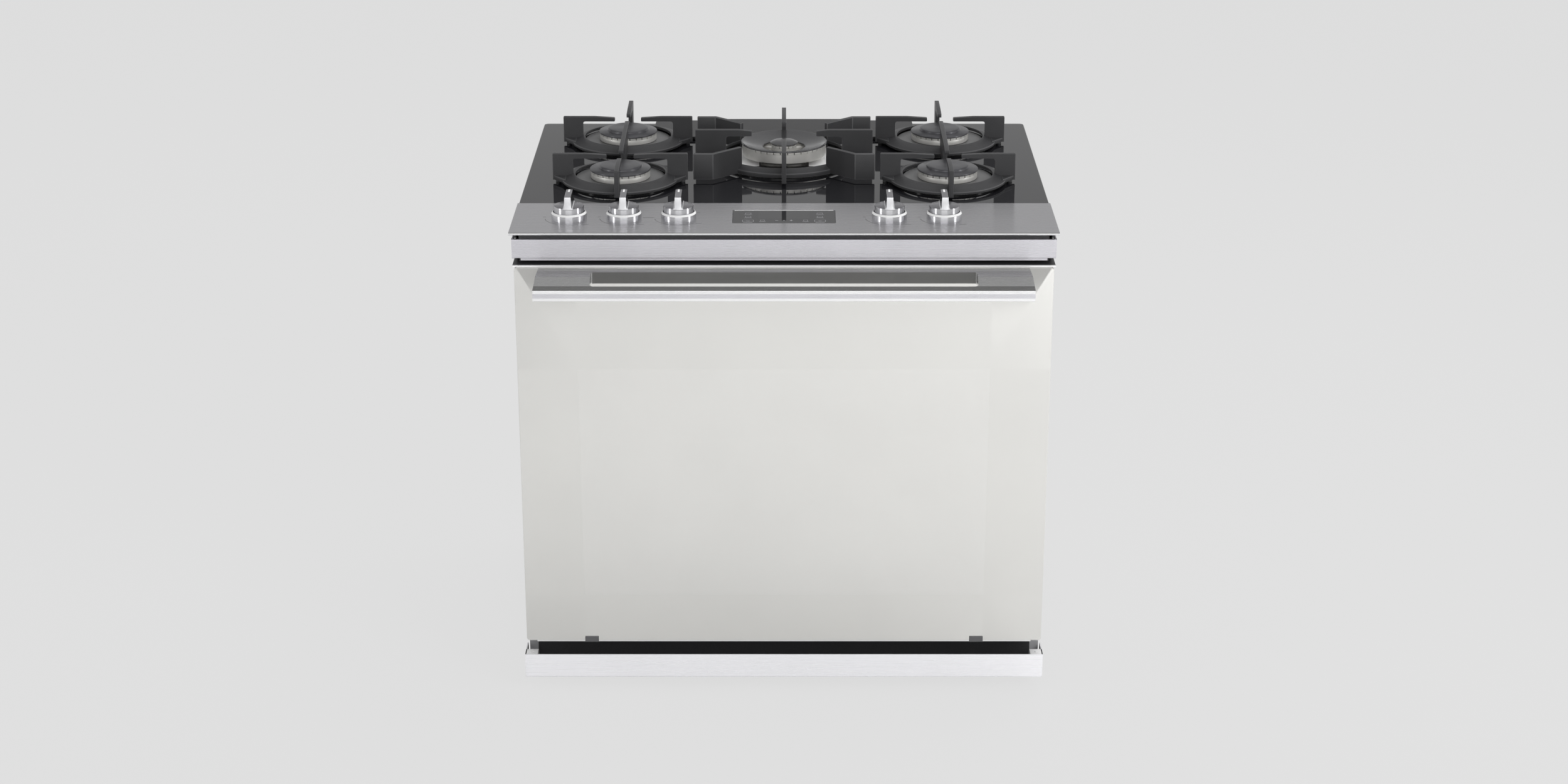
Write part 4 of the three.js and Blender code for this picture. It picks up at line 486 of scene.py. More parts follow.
class Pattern(Graph):
    """Lays out copies of a shape with Geometry Nodes, in a line or round a point."""

    INPUTS = {
        Layout.LINE: {"Start": "NodeSocketVector", "Step": "NodeSocketVector"},
        Layout.RING: {
            "Centre": "NodeSocketVector",
            "Radius": "NodeSocketFloat",
            "First": "NodeSocketFloat",
            "Turn": "NodeSocketFloat",
        },
    }

    def __init__(self, layout: Layout) -> None:
        """Builds the node tree of a layout.

        Args:
            layout: line or ring.
        """
        super().__init__(bpy.data.node_groups.new(f"pattern_{layout.value}", "GeometryNodeTree"))
        face = self.tree.interface
        face.new_socket(name="Geometry", in_out="OUTPUT", socket_type="NodeSocketGeometry")
        kinds = {"Shape": "NodeSocketObject", "Count": "NodeSocketInt", "Finish": "NodeSocketMaterial"}
        for name, kind in {**kinds, **self.INPUTS[layout]}.items():
            face.new_socket(name=name, in_out="INPUT", socket_type=kind)
        self.given = self.node("NodeGroupInput").outputs
        shape = self.node("GeometryNodeObjectInfo", {"Object": self.given["Shape"]}).outputs["Geometry"]
        spots = self.line() if layout is Layout.LINE else self.ring()
        copies = self.node("GeometryNodeInstanceOnPoints", {"Instance": shape, **spots}).outputs[0]
        solid = self.node("GeometryNodeRealizeInstances", {0: copies}).outputs[0]
        feeds = {"Geometry": solid, "Material": self.given["Finish"]}
        self.node("NodeGroupOutput", {0: self.node("GeometryNodeSetMaterial", feeds).outputs[0]})

    def line(self) -> dict[str, Socket]:
        """Sets points along a line.

        Returns:
            What the copies need: their points.
        """
        given = self.given
        feeds = {"Count": given["Count"], "Start Location": given["Start"], "Offset": given["Step"]}
        return {"Points": self.node("GeometryNodeMeshLine", feeds).outputs[0]}

    def ring(self) -> dict[str, Socket]:
        """Sets points on a ring.

        Returns:
            What the copies need: their points, and turns by which each faces outwards.
        """
        given, index = self.given, self.node("GeometryNodeInputIndex").outputs[0]
        angle = self.maths("ADD", given["First"], self.maths("MULTIPLY", index, given["Turn"]))
        across = self.maths("MULTIPLY", given["Radius"], self.maths("COSINE", angle))
        along = self.maths("MULTIPLY", given["Radius"], self.maths("SINE", angle))
        around = self.node("ShaderNodeCombineXYZ", {"X": across, "Y": along}).outputs[0]
        place = self.node("ShaderNodeVectorMath", {0: around, 1: given["Centre"]}).outputs[0]
        spots = self.node("GeometryNodeMeshLine", {"Count": given["Count"]}).outputs[0]
        move = self.node("GeometryNodeSetPosition", {"Geometry": spots, "Position": place})
        facing = self.node("ShaderNodeCombineXYZ", {"Z": angle}).outputs[0]
        turn = self.node("FunctionNodeEulerToRotation", {0: facing})
        return {"Points": move.outputs[0], "Rotation": turn.outputs[0]}

    def spread(self, name: str, shape: Piece, finish: "Finish", **sizes: object) -> Piece:
        """Makes a plain mesh of the copies, and removes the shape they are made from.

        Args:
            name: the piece's name.
            shape: the shape to repeat, drawn about the origin.
            finish: its finish.
            **sizes: the layout's inputs by name. Places are in millimetres, angles in radians.

        Returns:
            The new piece.
        """
        values = {"Shape": shape, "Finish": finish.material()}
        for key, value in sizes.items():
            long = key in ("Start", "Step", "Centre")
            values[key] = Vector(value) * MM if long else value * MM if key == "Radius" else value
        piece = bpy.data.objects.new(name, bpy.data.meshes.new(name))
        grid = piece.modifiers.new("pattern", "NODES")
        grid.node_group = self.tree
        for item in self.tree.interface.items_tree:
            if item.in_out == "INPUT":
                grid[item.identifier] = values[item.name]
        bpy.context.scene.collection.objects.link(piece)
        settle(piece)
        bpy.data.objects.remove(shape)
        return piece


# ---- Finishes ----


class Shader(Graph):
    """A material under construction: a Principled shader, and the nodes that feed it."""

    def __init__(self, name: str, **constants: object) -> None:
        """Starts a material.

        Args:
            name: the material's name.
            **constants: values for the shader's own sockets, with _ for each space.
        """
        self.material = bpy.data.materials.new(name)
        self.material.use_nodes = True
        super().__init__(self.material.node_tree)
        self.main = self.tree.nodes["Principled BSDF"]
        for key, value in constants.items():
            self.main.inputs[key.replace("_", " ")].default_value = value

    def noise(self, size: float, scale: Triple = (1, 1, 1), detail: float = 3.0) -> Socket:
        """Makes an even noise in the piece's own coordinates.

        Args:
            size: the size of its spots in millimetres.
            scale: how it is squeezed on each axis.
            detail: how many finer layers it has.

        Returns:
            The socket of its value, from 0 to 1.
        """
        place = self.node("ShaderNodeTexCoord").outputs["Object"]
        place = self.node("ShaderNodeMapping", {"Vector": place, "Scale": scale}).outputs[0]
        feeds = {"Vector": place, "Scale": 1 / (size * MM), "Detail": detail}
        return self.node("ShaderNodeTexNoise", feeds).outputs[0]

    def between(self, fac: Socket, low: float, high: float, start: float = 0.3, stop: float = 0.7) -> Socket:
        """Makes a value that follows another.

        Args:
            fac: the value to follow.
            low: the result where fac is at start, and below it.
            high: the result where fac is at stop, and above it.
            start: the lower end of fac's range.
            stop: its upper end.

        Returns:
            The socket of the result.
        """
        limits = {"From Min": start, "From Max": stop, "To Min": low, "To Max": high}
        return self.node("ShaderNodeMapRange", {"Value": fac, **limits}).outputs[0]

    def mix(self, fac: Socket, first: "Socket | Tone", second: "Socket | Tone") -> Socket:
        """Mixes two colours.

        Args:
            fac: the share of the second.
            first: a tone, or the socket of a colour.
            second: the same.

        Returns:
            The socket of the mixed colour.
        """
        ends = [value if isinstance(value, Socket) else (*value, 1) for value in (first, second)]
        return self.node("ShaderNodeMix", {0: fac, 6: ends[0], 7: ends[1]}, data_type="RGBA").outputs[2]

    def colour(self, source: Socket) -> None:
        """Gives the shader its colour."""
        self.link(source, self.main.inputs["Base Color"])

    def roughness(self, source: Socket) -> None:
        """Gives the shader its roughness."""
        self.link(source, self.main.inputs["Roughness"])

    def bump(self, height: Socket, depth: float, strength: float = 1.0) -> None:
        """Raises the surface.

        Args:
            height: the height, from 0 to 1.
            depth: what a height of 1 stands for, in millimetres.
            strength: how much of it shows.
        """
        node = self.node("ShaderNodeBump", {"Height": height, "Distance": depth * MM, "Strength": strength})
        self.link(node.outputs[0], self.main.inputs["Normal"])


Tone = Triple


def scaled(tone: Tone, share: float) -> Tone:
    """Returns a tone made lighter or darker."""
    return tuple(min(1.0, value * share) for value in tone)


@dataclass(frozen=True)
class Finish:
    """A finish, made once and shared by the pieces that have it."""

    name: str

    def material(self) -> bpy.types.Material:
        """Returns the finish's material, made when it is first asked for."""
        return bpy.data.materials.get(self.name) or self.make()

    def make(self) -> bpy.types.Material:
        """Builds the material."""
        raise NotImplementedError


@dataclass(frozen=True)
class Brushed(Finish):
    """Sheet metal with a fine straight grain."""

    tone: Tone = (0.55, 0.55, 0.56)
    grain: Axis = Axis.X
    gloss: Pair = (0.26, 0.36)
    spread: float = 0.07
    stretch: float = 0.0
    metal: float = 1.0

    def make(self) -> bpy.types.Material:
        """Builds the material.

        Returns:
            The new material.
        """
        shader = Shader(
            self.name, Metallic=self.metal, Anisotropic=self.stretch, Anisotropic_Rotation=0.25
        )
        if self.stretch:
            tangent = shader.node("ShaderNodeTangent", direction_type="UV_MAP", uv_map=GRAIN_MAP)
            shader.link(tangent.outputs[0], shader.main.inputs["Tangent"])
        along = [1.0, 1.0, 1.0]
        along[self.grain.value] = 0.004
        lines = shader.noise(0.5, tuple(along), 2.0)
        cloud = shader.noise(90.0, detail=2.0)
        tint = shader.mix(lines, scaled(self.tone, 1 - self.spread), scaled(self.tone, 1 + self.spread))
        shader.colour(shader.mix(shader.between(cloud, 0, 1), tint, scaled(self.tone, 1 - self.spread / 2)))
        shader.roughness(shader.between(lines, *self.gloss))
        shader.bump(lines, 0.012, 0.5)
        return shader.material


@dataclass(frozen=True)
class Plated(Finish):
    """Polished or satin plated metal with faint handling marks."""

    tone: Tone = (0.62, 0.62, 0.63)
    gloss: Pair = (0.1, 0.18)
    mottle: float = 30.0

    def make(self) -> bpy.types.Material:
        """Builds the material.

        Returns:
            The new material.
        """
        shader = Shader(self.name, Metallic=1.0)
        cloud = shader.noise(self.mottle, detail=4.0)
        shader.colour(shader.mix(cloud, scaled(self.tone, 0.94), scaled(self.tone, 1.05)))
        shader.roughness(shader.between(cloud, *self.gloss))
        return shader.material


@dataclass(frozen=True)
class Turned(Finish):
    """Metal turned on a lathe: its highlights run in rays from the middle of the piece."""

    tone: Tone = (0.5, 0.5, 0.5)
    gloss: Pair = (0.3, 0.36)
    metal: float = 1.0
    stretch: float = 0.75

    def make(self) -> bpy.types.Material:
        """Builds the material.

        Returns:
            The new material.
        """
        shader = Shader(
            self.name, Metallic=self.metal, Anisotropic=self.stretch, Anisotropic_Rotation=0.25
        )
        tangent = shader.node("ShaderNodeTangent", direction_type="RADIAL", axis="Z")
        shader.link(tangent.outputs[0], shader.main.inputs["Tangent"])
        cloud = shader.noise(18.0, detail=2.0)
        shader.colour(shader.mix(cloud, scaled(self.tone, 0.96), scaled(self.tone, 1.04)))
        shader.roughness(shader.between(cloud, *self.gloss))
        return shader.material


@dataclass(frozen=True)
class Casting(Finish):
    """Cast metal, bare or enamelled, with a fine grain and slow changes of tone."""

    tone: Tone = (0.05, 0.05, 0.052)
    metal: float = 0.0
    gloss: Pair = (0.38, 0.5)
    grain: float = 0.9
    depth: float = 0.03

    def make(self) -> bpy.types.Material:
        """Builds the material.

        Returns:
            The new material.
        """
        shader = Shader(self.name, Metallic=self.metal)
        grain = shader.noise(self.grain, detail=4.0)
        cloud = shader.noise(25.0, detail=3.0)
        shader.colour(shader.mix(cloud, scaled(self.tone, 0.88), scaled(self.tone, 1.12)))
        shader.roughness(shader.between(grain, *self.gloss))
        shader.bump(grain, self.depth, 0.5)
        return shader.material


@dataclass(frozen=True)
class Coated(Finish):
    """Enamel, paint, plastic or rubber: a coloured skin with specks and a soft or hard gloss."""

    tone: Tone = (0.05, 0.05, 0.06)
    speck: Tone = (0.12, 0.12, 0.14)
    share: float = 0.25
    size: float = 2.0
    gloss: Pair = (0.25, 0.35)
    depth: float = 0.01

    def make(self) -> bpy.types.Material:
        """Builds the material.

        Returns:
            The new material.
        """
        shader = Shader(self.name)
        specks = shader.noise(self.size, detail=2.0)
        edge = 0.5 + 0.5 * (0.5 - self.share) * 0.6
        shader.colour(shader.mix(shader.between(specks, 0, 1, edge, edge + 0.06), self.tone, self.speck))
        shader.roughness(shader.between(specks, *self.gloss))
        shader.bump(specks, self.depth, 0.5)
        return shader.material


@dataclass(frozen=True)
class Glass(Finish):
    """Glass: clear, coloured through, or with a mirror coating behind its face."""

    tone: Tone = (0.012, 0.012, 0.014)
    mirror: float = 0.0
    gloss: Pair = (0.02, 0.05)
    seen_through: float = 0.0
    solid: float = 1.0
    ior: float = 1.5

    def make(self) -> bpy.types.Material:
        """Builds the material.

        Returns:
            The new material.
        """
        shader = Shader(
            self.name, Metallic=self.mirror, IOR=self.ior, Transmission_Weight=self.seen_through,
            Alpha=self.solid,
        )
        cloud = shader.noise(120.0, detail=2.0)
        shader.colour(shader.mix(cloud, scaled(self.tone, 0.97), scaled(self.tone, 1.03)))
        shader.roughness(shader.between(cloud, *self.gloss))
        return shader.material


PANEL_STEEL = Brushed("panel_steel", (0.85, 0.845, 0.87), Axis.X, (0.24, 0.28), 0.05, 0.95)
TRIM_STEEL = Brushed("trim_steel", (0.72, 0.71, 0.75), Axis.X, (0.24, 0.34), 0.12, 0.6)
KICK_STEEL = Brushed("kick_steel", (0.92, 0.92, 0.945), Axis.X, (0.26, 0.36), 0.04, 0.6, 0.4)
# Lit and shaded copies of the handle's one brushed steel, chosen by facing: painted shade on its top facets,
# painted highlight on its front, back and underside, painted reflection in the band across its front, and
# painted shade inside the finger opening.
HANDLE_TOP_PAINTED_SHADE = Brushed("handle_top_painted_shade", (0.46, 0.46, 0.455), Axis.X, (0.22, 0.3), 0.06, 0.7)
HANDLE_FACE_PAINTED_HIGHLIGHT = Brushed("handle_face_painted_highlight", (0.97, 0.97, 0.98), Axis.X, (0.22, 0.3), 0.03, 0.7, 0.8)
HANDLE_BAND_PAINTED_REFLECTION = Brushed("handle_band_painted_reflection", (0.72, 0.715, 0.75), Axis.X, (0.24, 0.34), 0.1, 0.7, 0.8)
HANDLE_WELL_PAINTED_SHADE = Brushed("handle_well_painted_shade", (0.2, 0.2, 0.195), Axis.X, (0.3, 0.4), 0.1, 0.6)
HANDLE_STEEL = Brushed("handle_steel", (0.88, 0.88, 0.88), Axis.X, (0.22, 0.3), 0.05, 0.7)
SHEET_STEEL = Coated("sheet_steel", (0.36, 0.36, 0.37), (0.37, 0.37, 0.38), 0.4, 30.0, (0.42, 0.46))
ZINC = Plated("zinc_sheet", (0.42, 0.42, 0.43), (0.36, 0.5), 14.0)
CLIP_STEEL = Plated("clip_steel", (0.16, 0.16, 0.165), (0.3, 0.4), 10.0)
BLACK_STEEL = Coated("black_steel", (0.03, 0.03, 0.032), (0.045, 0.045, 0.047), 0.4, 1.2, (0.35, 0.5))
TRAY_STEEL = Coated("tray_steel", (0.045, 0.045, 0.047), (0.06, 0.06, 0.062), 0.4, 2.0, (0.35, 0.5))
VENT_ENAMEL = Coated("vent_enamel", (0.018, 0.018, 0.019), (0.028, 0.028, 0.03), 0.4, 0.8, (0.3, 0.4))
COOKTOP_GLASS = Glass("cooktop_black_glass", ior=2.1)
TOUCH_GLASS = Glass("touch_glass", ior=2.1)
DISPLAY_GLASS = Glass("display_glass", (0.016, 0.016, 0.018), gloss=(0.03, 0.06), ior=2.2)
DOOR_GLASS = Glass("door_mirror_glass", (0.8, 0.795, 0.77), 0.9, (0.06, 0.09))
WINDOW_GLASS = Glass("window_mirror_glass", (0.89, 0.885, 0.86), 0.9, (0.06, 0.09), solid=0.9)
CLEAR_GLASS = Glass("clear_glass", (0.8, 0.85, 0.86), 0.0, (0.02, 0.05), 1.0)
LAMP_GLASS = Glass("lamp_glass", (0.9, 0.88, 0.8), 0.0, (0.15, 0.25), 0.8)
KNOB_SATIN = Brushed("knob_satin", (0.95, 0.95, 0.97), Axis.Z, (0.2, 0.26), 0.02, 0.0, 0.7)
# Darker copies for the knobs' top faces and the blades' sides: painted shade.
KNOB_TOP_PAINTED_SHADE = Plated("knob_top_painted_shade", (0.42, 0.415, 0.44), (0.24, 0.3))
KNOB_SIDE_PAINTED_SHADE = Plated("knob_side_painted_shade", (0.3, 0.3, 0.32), (0.2, 0.26))
KNOB_DISC = Turned("knob_disc", (0.66, 0.66, 0.68), (0.22, 0.26), 1.0, 0.85)
BRIGHT_RING = Plated("bright_ring", (0.78, 0.78, 0.79), (0.1, 0.16))
# Plain white: a painted highlight on the chrome bezels' tops and along the door's top edge, and the light
# sheet of the kick strip's tabs.
WHITE_SHEET_AND_PAINTED_HIGHLIGHT = Brushed("white_sheet_and_painted_highlight", (0.96, 0.96, 0.96), Axis.X, (0.2, 0.3), 0.01, 0.0, 0.2)
BRIGHT_STRIP = Plated("bright_strip", (0.85, 0.85, 0.85), (0.12, 0.2))
RACK_PLATE = Plated("rack_plate", (0.9, 0.9, 0.9), (0.3, 0.4), 60.0)
IRON = Casting("cast_iron_enamel", (0.042, 0.042, 0.044))
# The grates' round edges in lighter enamel: edge wear and a painted highlight.
IRON_EDGE_WEAR_AND_PAINTED_HIGHLIGHT = Casting("cast_iron_edge_wear_and_painted_highlight", (0.085, 0.085, 0.088), gloss=(0.36, 0.46))
HEAD_ALLOY = Casting("head_alloy", (0.72, 0.71, 0.68), 0.55, (0.34, 0.44), 0.5, 0.015)
# Black put behind the flame ports, and on the vent's slot cutters: painted shade.
PAINTED_SHADE_BLACK = Coated("painted_shade_black", (0.008, 0.008, 0.008), (0.015, 0.015, 0.015), 0.5, 0.6, (0.7, 0.9))
CAP_SATIN = Turned("cap_satin", (0.11, 0.11, 0.118), (0.3, 0.36), 0.55, 0.5)
CROWN_SATIN = Turned("crown_satin", (0.2, 0.2, 0.205), (0.2, 0.26), 0.8, 0.85)
BOWL_SATIN = Coated("bowl_satin", (0.13, 0.13, 0.131), (0.145, 0.145, 0.147), 0.5, 1.2, (0.32, 0.42))
# Black enamel on the bowls' stepped rims; on the centre bowl it also covers the middle of the shelf as a
# painted reflection of the crown's dark underside.
BOWL_BLACK_AND_PAINTED_REFLECTION = Coated("bowl_black_and_painted_reflection", (0.014, 0.014, 0.015), (0.02, 0.02, 0.02), 0.4, 1.5, (0.12, 0.2))
# White on both sides of the centre bowl's shelf: a painted reflection of the backdrop.
BOWL_PAINTED_REFLECTION = Brushed("bowl_painted_reflection", (0.98, 0.98, 0.98), Axis.X, (0.08, 0.14), 0.01, 0.0, 0.2)
LINER_ENAMEL = Coated("liner_enamel", (0.035, 0.037, 0.045), (0.2, 0.2, 0.22), 0.12, 1.6, (0.18, 0.26))
GASKET = Coated("gasket_braid", (0.03, 0.03, 0.03), (0.07, 0.07, 0.07), 0.5, 1.0, (0.8, 0.95), 0.3)
WOOL = Coated("mineral_wool", (0.55, 0.48, 0.25), (0.75, 0.68, 0.42), 0.5, 4.0, (0.9, 1.0), 1.5)
BRASS = Plated("gas_brass", (0.5, 0.38, 0.16), (0.3, 0.42), 12.0)
ALUMINISED = Plated("aluminised_tube", (0.45, 0.45, 0.44), (0.35, 0.5), 8.0)
FOOT_PLASTIC = Coated("foot_plastic", (0.02, 0.02, 0.02), (0.035, 0.035, 0.035), 0.5, 0.8, (0.5, 0.65))
PORCELAIN = Coated("igniter_porcelain", (0.75, 0.74, 0.7), (0.85, 0.84, 0.8), 0.5, 1.0, (0.2, 0.3))
DARK_INK = Coated("dark_ink", (0.03, 0.03, 0.032), (0.045, 0.045, 0.048), 0.5, 1.0, (0.4, 0.5))
LIGHT_INK = Coated("light_ink", (0.34, 0.34, 0.36), (0.42, 0.42, 0.44), 0.5, 1.0, (0.4, 0.5))
WHITE_MARK = Coated("white_mark", (0.85, 0.85, 0.85), (0.9, 0.9, 0.9), 0.5, 1.0, (0.35, 0.45))


def map_grain(piece: Piece, grain: Axis) -> None:
    """Gives a piece a UV map whose first direction is that of its grain.

    Args:
        piece: the piece.
        grain: the direction of the brushing.
    """
    mesh = piece.data
    layer = mesh.uv_layers.get(GRAIN_MAP) or mesh.uv_layers.new(name=GRAIN_MAP)
    for face in mesh.polygons:
        others = [axis for axis in range(3) if axis != grain.value]
        across = min(others, key=lambda axis: abs(face.normal[axis]))
        for loop in face.loop_indices:
            place = mesh.vertices[mesh.loops[loop].vertex_index].co
            layer.data[loop].uv = (place[grain.value], place[across])


def painted(piece: Piece, *finishes: Finish) -> Piece:
    """Gives a piece its finish.

    Args:
        piece: the piece.
        *finishes: its finish, or one for each of its material slots.

    Returns:
        The same piece.
    """
    piece.data.materials.clear()
    for finish in finishes:
        piece.data.materials.append(finish.material())
        if isinstance(finish, Brushed) and finish.stretch:
            map_grain(piece, finish.grain)
    return piece


def hand_over(piece: Piece, rides: str, nodes: Sequence[str] = (), sharp: float = 35.0) -> Piece:
    """Shades a finished piece and gives it to the frame.

    Args:
        piece: the piece, in place and painted.
        rides: the CAD body that it moves with.
        nodes: the CAD nodes that it stands for.
        sharp: the angle in degrees above which an edge shows.

    Returns:
        The same piece.
    """
    mesh = piece.data
    mesh.shade_smooth()
    mesh.set_sharp_from_angle(angle=math.radians(sharp))
    broad = BROAD_SHARE * sum(face.area for face in mesh.polygons)
    for face in mesh.polygons:
        face.use_smooth = face.area < broad
    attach(piece, rides)
    if nodes:
        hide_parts(*nodes)
    log.info("%s rides on %s, %d faces", piece.name, rides, len(mesh.polygons))
    return piece


# ---- Cooktop ----

BURNERS = ("left_front", "left_rear", "right_front", "right_rear")
KNOBS = range(1, 6)
MIDDLE_KNOB = 3


@dataclass
class GlassTop:
    """The black glass behind the control panel."""

    corner: float = 8.0
    front_corner: float = 0.8
    edge: float = 1.1
    throat: float = 30.0
    flue: float = 102.0
    flue_gap: Pair = (0.5, 18.0)

    def build(self) -> None:
        """Builds the pane with its rear corners, polished edge and the holes under the bowls."""
        box = Place("cooktop_glass")
        corners = [(box.x0, box.y0), (box.x1, box.y0), (box.x1, box.y1), (box.x0, box.y1)]
        outline = rounded(corners, [self.front_corner] * 2 + [self.corner] * 2, 8)
        pane = bevelled(prism("glass_pane", outline, Axis.Z, box.z0, box.z1), self.edge)
        spots = [Place(f"burner_head_{name}") for name in (*BURNERS, "centre")]
        through = (box.z0 - 1, box.z1 + 1)
        holes = [round_bar("hole", self.throat, through, spot.x, spot.y, 48) for spot in spots]
        vent, (near, far) = Place("rear_vent"), self.flue_gap
        flue = block("flue", (-self.flue, self.flue), (vent.y0 + near, vent.y1 - far), through)
        cut(pane, *holes, flue)
        hand_over(painted(pane, COOKTOP_GLASS), "cabinet", ["cooktop_glass"])


@dataclass
class ControlPanel:
    """The steel panel at the front of the cooktop, with a bezel round each knob."""

    sheet: float = 1.5
    nose: float = 4.0
    hem: float = 18.0
    bezel_foot: float = 24.8
    bezel_bevel: float = 2.6
    bezel_height: float = 10.4
    bore: float = 22.4
    window: Pair = (145.0, 66.5)
    window_y: float = 79.5
    window_corner: float = 3.0
    inner_end: Pair = (5.0, 9.0)
    inner_end_gap: Pair = (14.0, 4.0)
    polished: Pair = (-0.3, 0.93)

    def build(self) -> None:
        """Builds the folded sheet, its ends, the touch panel's window and the bezels."""
        box, top = Place("control_panel"), Place("cooktop_glass").z1
        nose, sheet = self.nose / 2, self.sheet
        arc = [
            (box.y0 + nose - nose * math.sin(turn), top - nose + nose * math.cos(turn))
            for turn in (math.pi * step / 10 for step in range(11))
        ]
        section = [
            (box.y1, top), *arc, (box.y0 + self.hem, top - self.nose), (box.y0 + self.hem, top - sheet),
            (box.y1 - sheet, top - sheet), (box.y1 - sheet, box.z0), (box.y1, box.z0),
        ]
        skin = prism("control_sheet", section, Axis.X, box.x0, box.x1)
        ends = [
            block("end", (side * box.x1, side * (box.x1 - sheet)), (box.y0 + nose, box.y1),
                  (top - self.nose, top - sheet / 2))
            for side in (-1, 1)
        ]
        half, deep, middle = self.window[0] / 2, self.window[1] / 2, box.y0 + self.window_y
        hole = rectangle((-half, half), (middle - deep, middle + deep), self.window_corner)
        cut(skin, prism("window", hole, Axis.Z, top - 3, top + 1))
        (out, into), (near, far) = self.inner_end, self.inner_end_gap
        returns = [
            block("return", (side * (box.x1 - into), side * (box.x1 - out)), (box.y0 + near, box.y1 - far),
                  (Place("front_trim").z1 + 0.4, top - sheet - 0.2))
            for side in (-1, 1)
        ]
        parts = [painted(part, PANEL_STEEL, BRIGHT_STRIP) for part in (skin, *ends)]
        parts += [painted(part, BLACK_STEEL) for part in returns]
        for face in skin.data.polygons:
            front, (low, high) = face.center.y < (box.y0 + nose) * MM, self.polished
            face.material_index = int(front and low < face.normal.z < high)
        hand_over(fuse("control_panel_sheet", *parts), "cabinet", ["control_panel"])
        for number in KNOBS:
            self.bezel(number, Place(f"knob_{number}"), top, top + self.bezel_height)

    def bezel(self, number: int, knob: Place, foot: float, crest: float) -> None:
        """Turns the bezel of one knob.

        Args:
            number: the knob's number.
            knob: the knob's place.
            foot: the height of the panel.
            crest: the height of the bezel's top.
        """
        edge, flat = self.bezel_foot, crest - self.bezel_bevel
        profile = [
            (self.bore, foot), (edge, foot), (edge, flat - 0.3), (edge - 0.15, flat),
            (edge - 0.5, flat + 0.3), (self.bore + 0.6, crest - 0.2), (self.bore + 0.2, crest),
            (self.bore, crest - 0.3),
        ]
        ring = painted(lathe(f"knob_bezel_{number}", profile, knob.x, knob.y), KNOB_DISC, WHITE_SHEET_AND_PAINTED_HIGHLIGHT)
        # The chrome bezel's top faces are painted white: a painted highlight.
        for face in ring.data.polygons:
            face.material_index = int(face.center.z > (flat - 0.05) * MM and face.normal.z > 0.1)
        hand_over(ring, "cabinet")


@dataclass(frozen=True)
class Icon:
    """A plain icon: frames and bars, each as (half its width, near edge, far edge)."""

    frames: tuple[Triple, ...] = ()
    bars: tuple[Triple, ...] = ()


SETTING = Icon(frames=((4.0, 0.0, 6.0),), bars=((5.5, -2.6, -1.9),))
MODE = Icon(frames=((8.0, 0.0, 8.5),), bars=((2.5, 3.8, 4.7), (6.5, -3.4, -2.6)))
SWITCH = Icon(frames=((3.0, 1.5, 7.0),), bars=((4.5, -2.2, -1.5),))
MINUS = Icon(bars=((2.0, 3.9, 4.9),))
PLUS = Icon(bars=((2.0, 3.9, 4.9), (0.5, 1.6, 3.8), (0.5, 5.0, 7.2)))


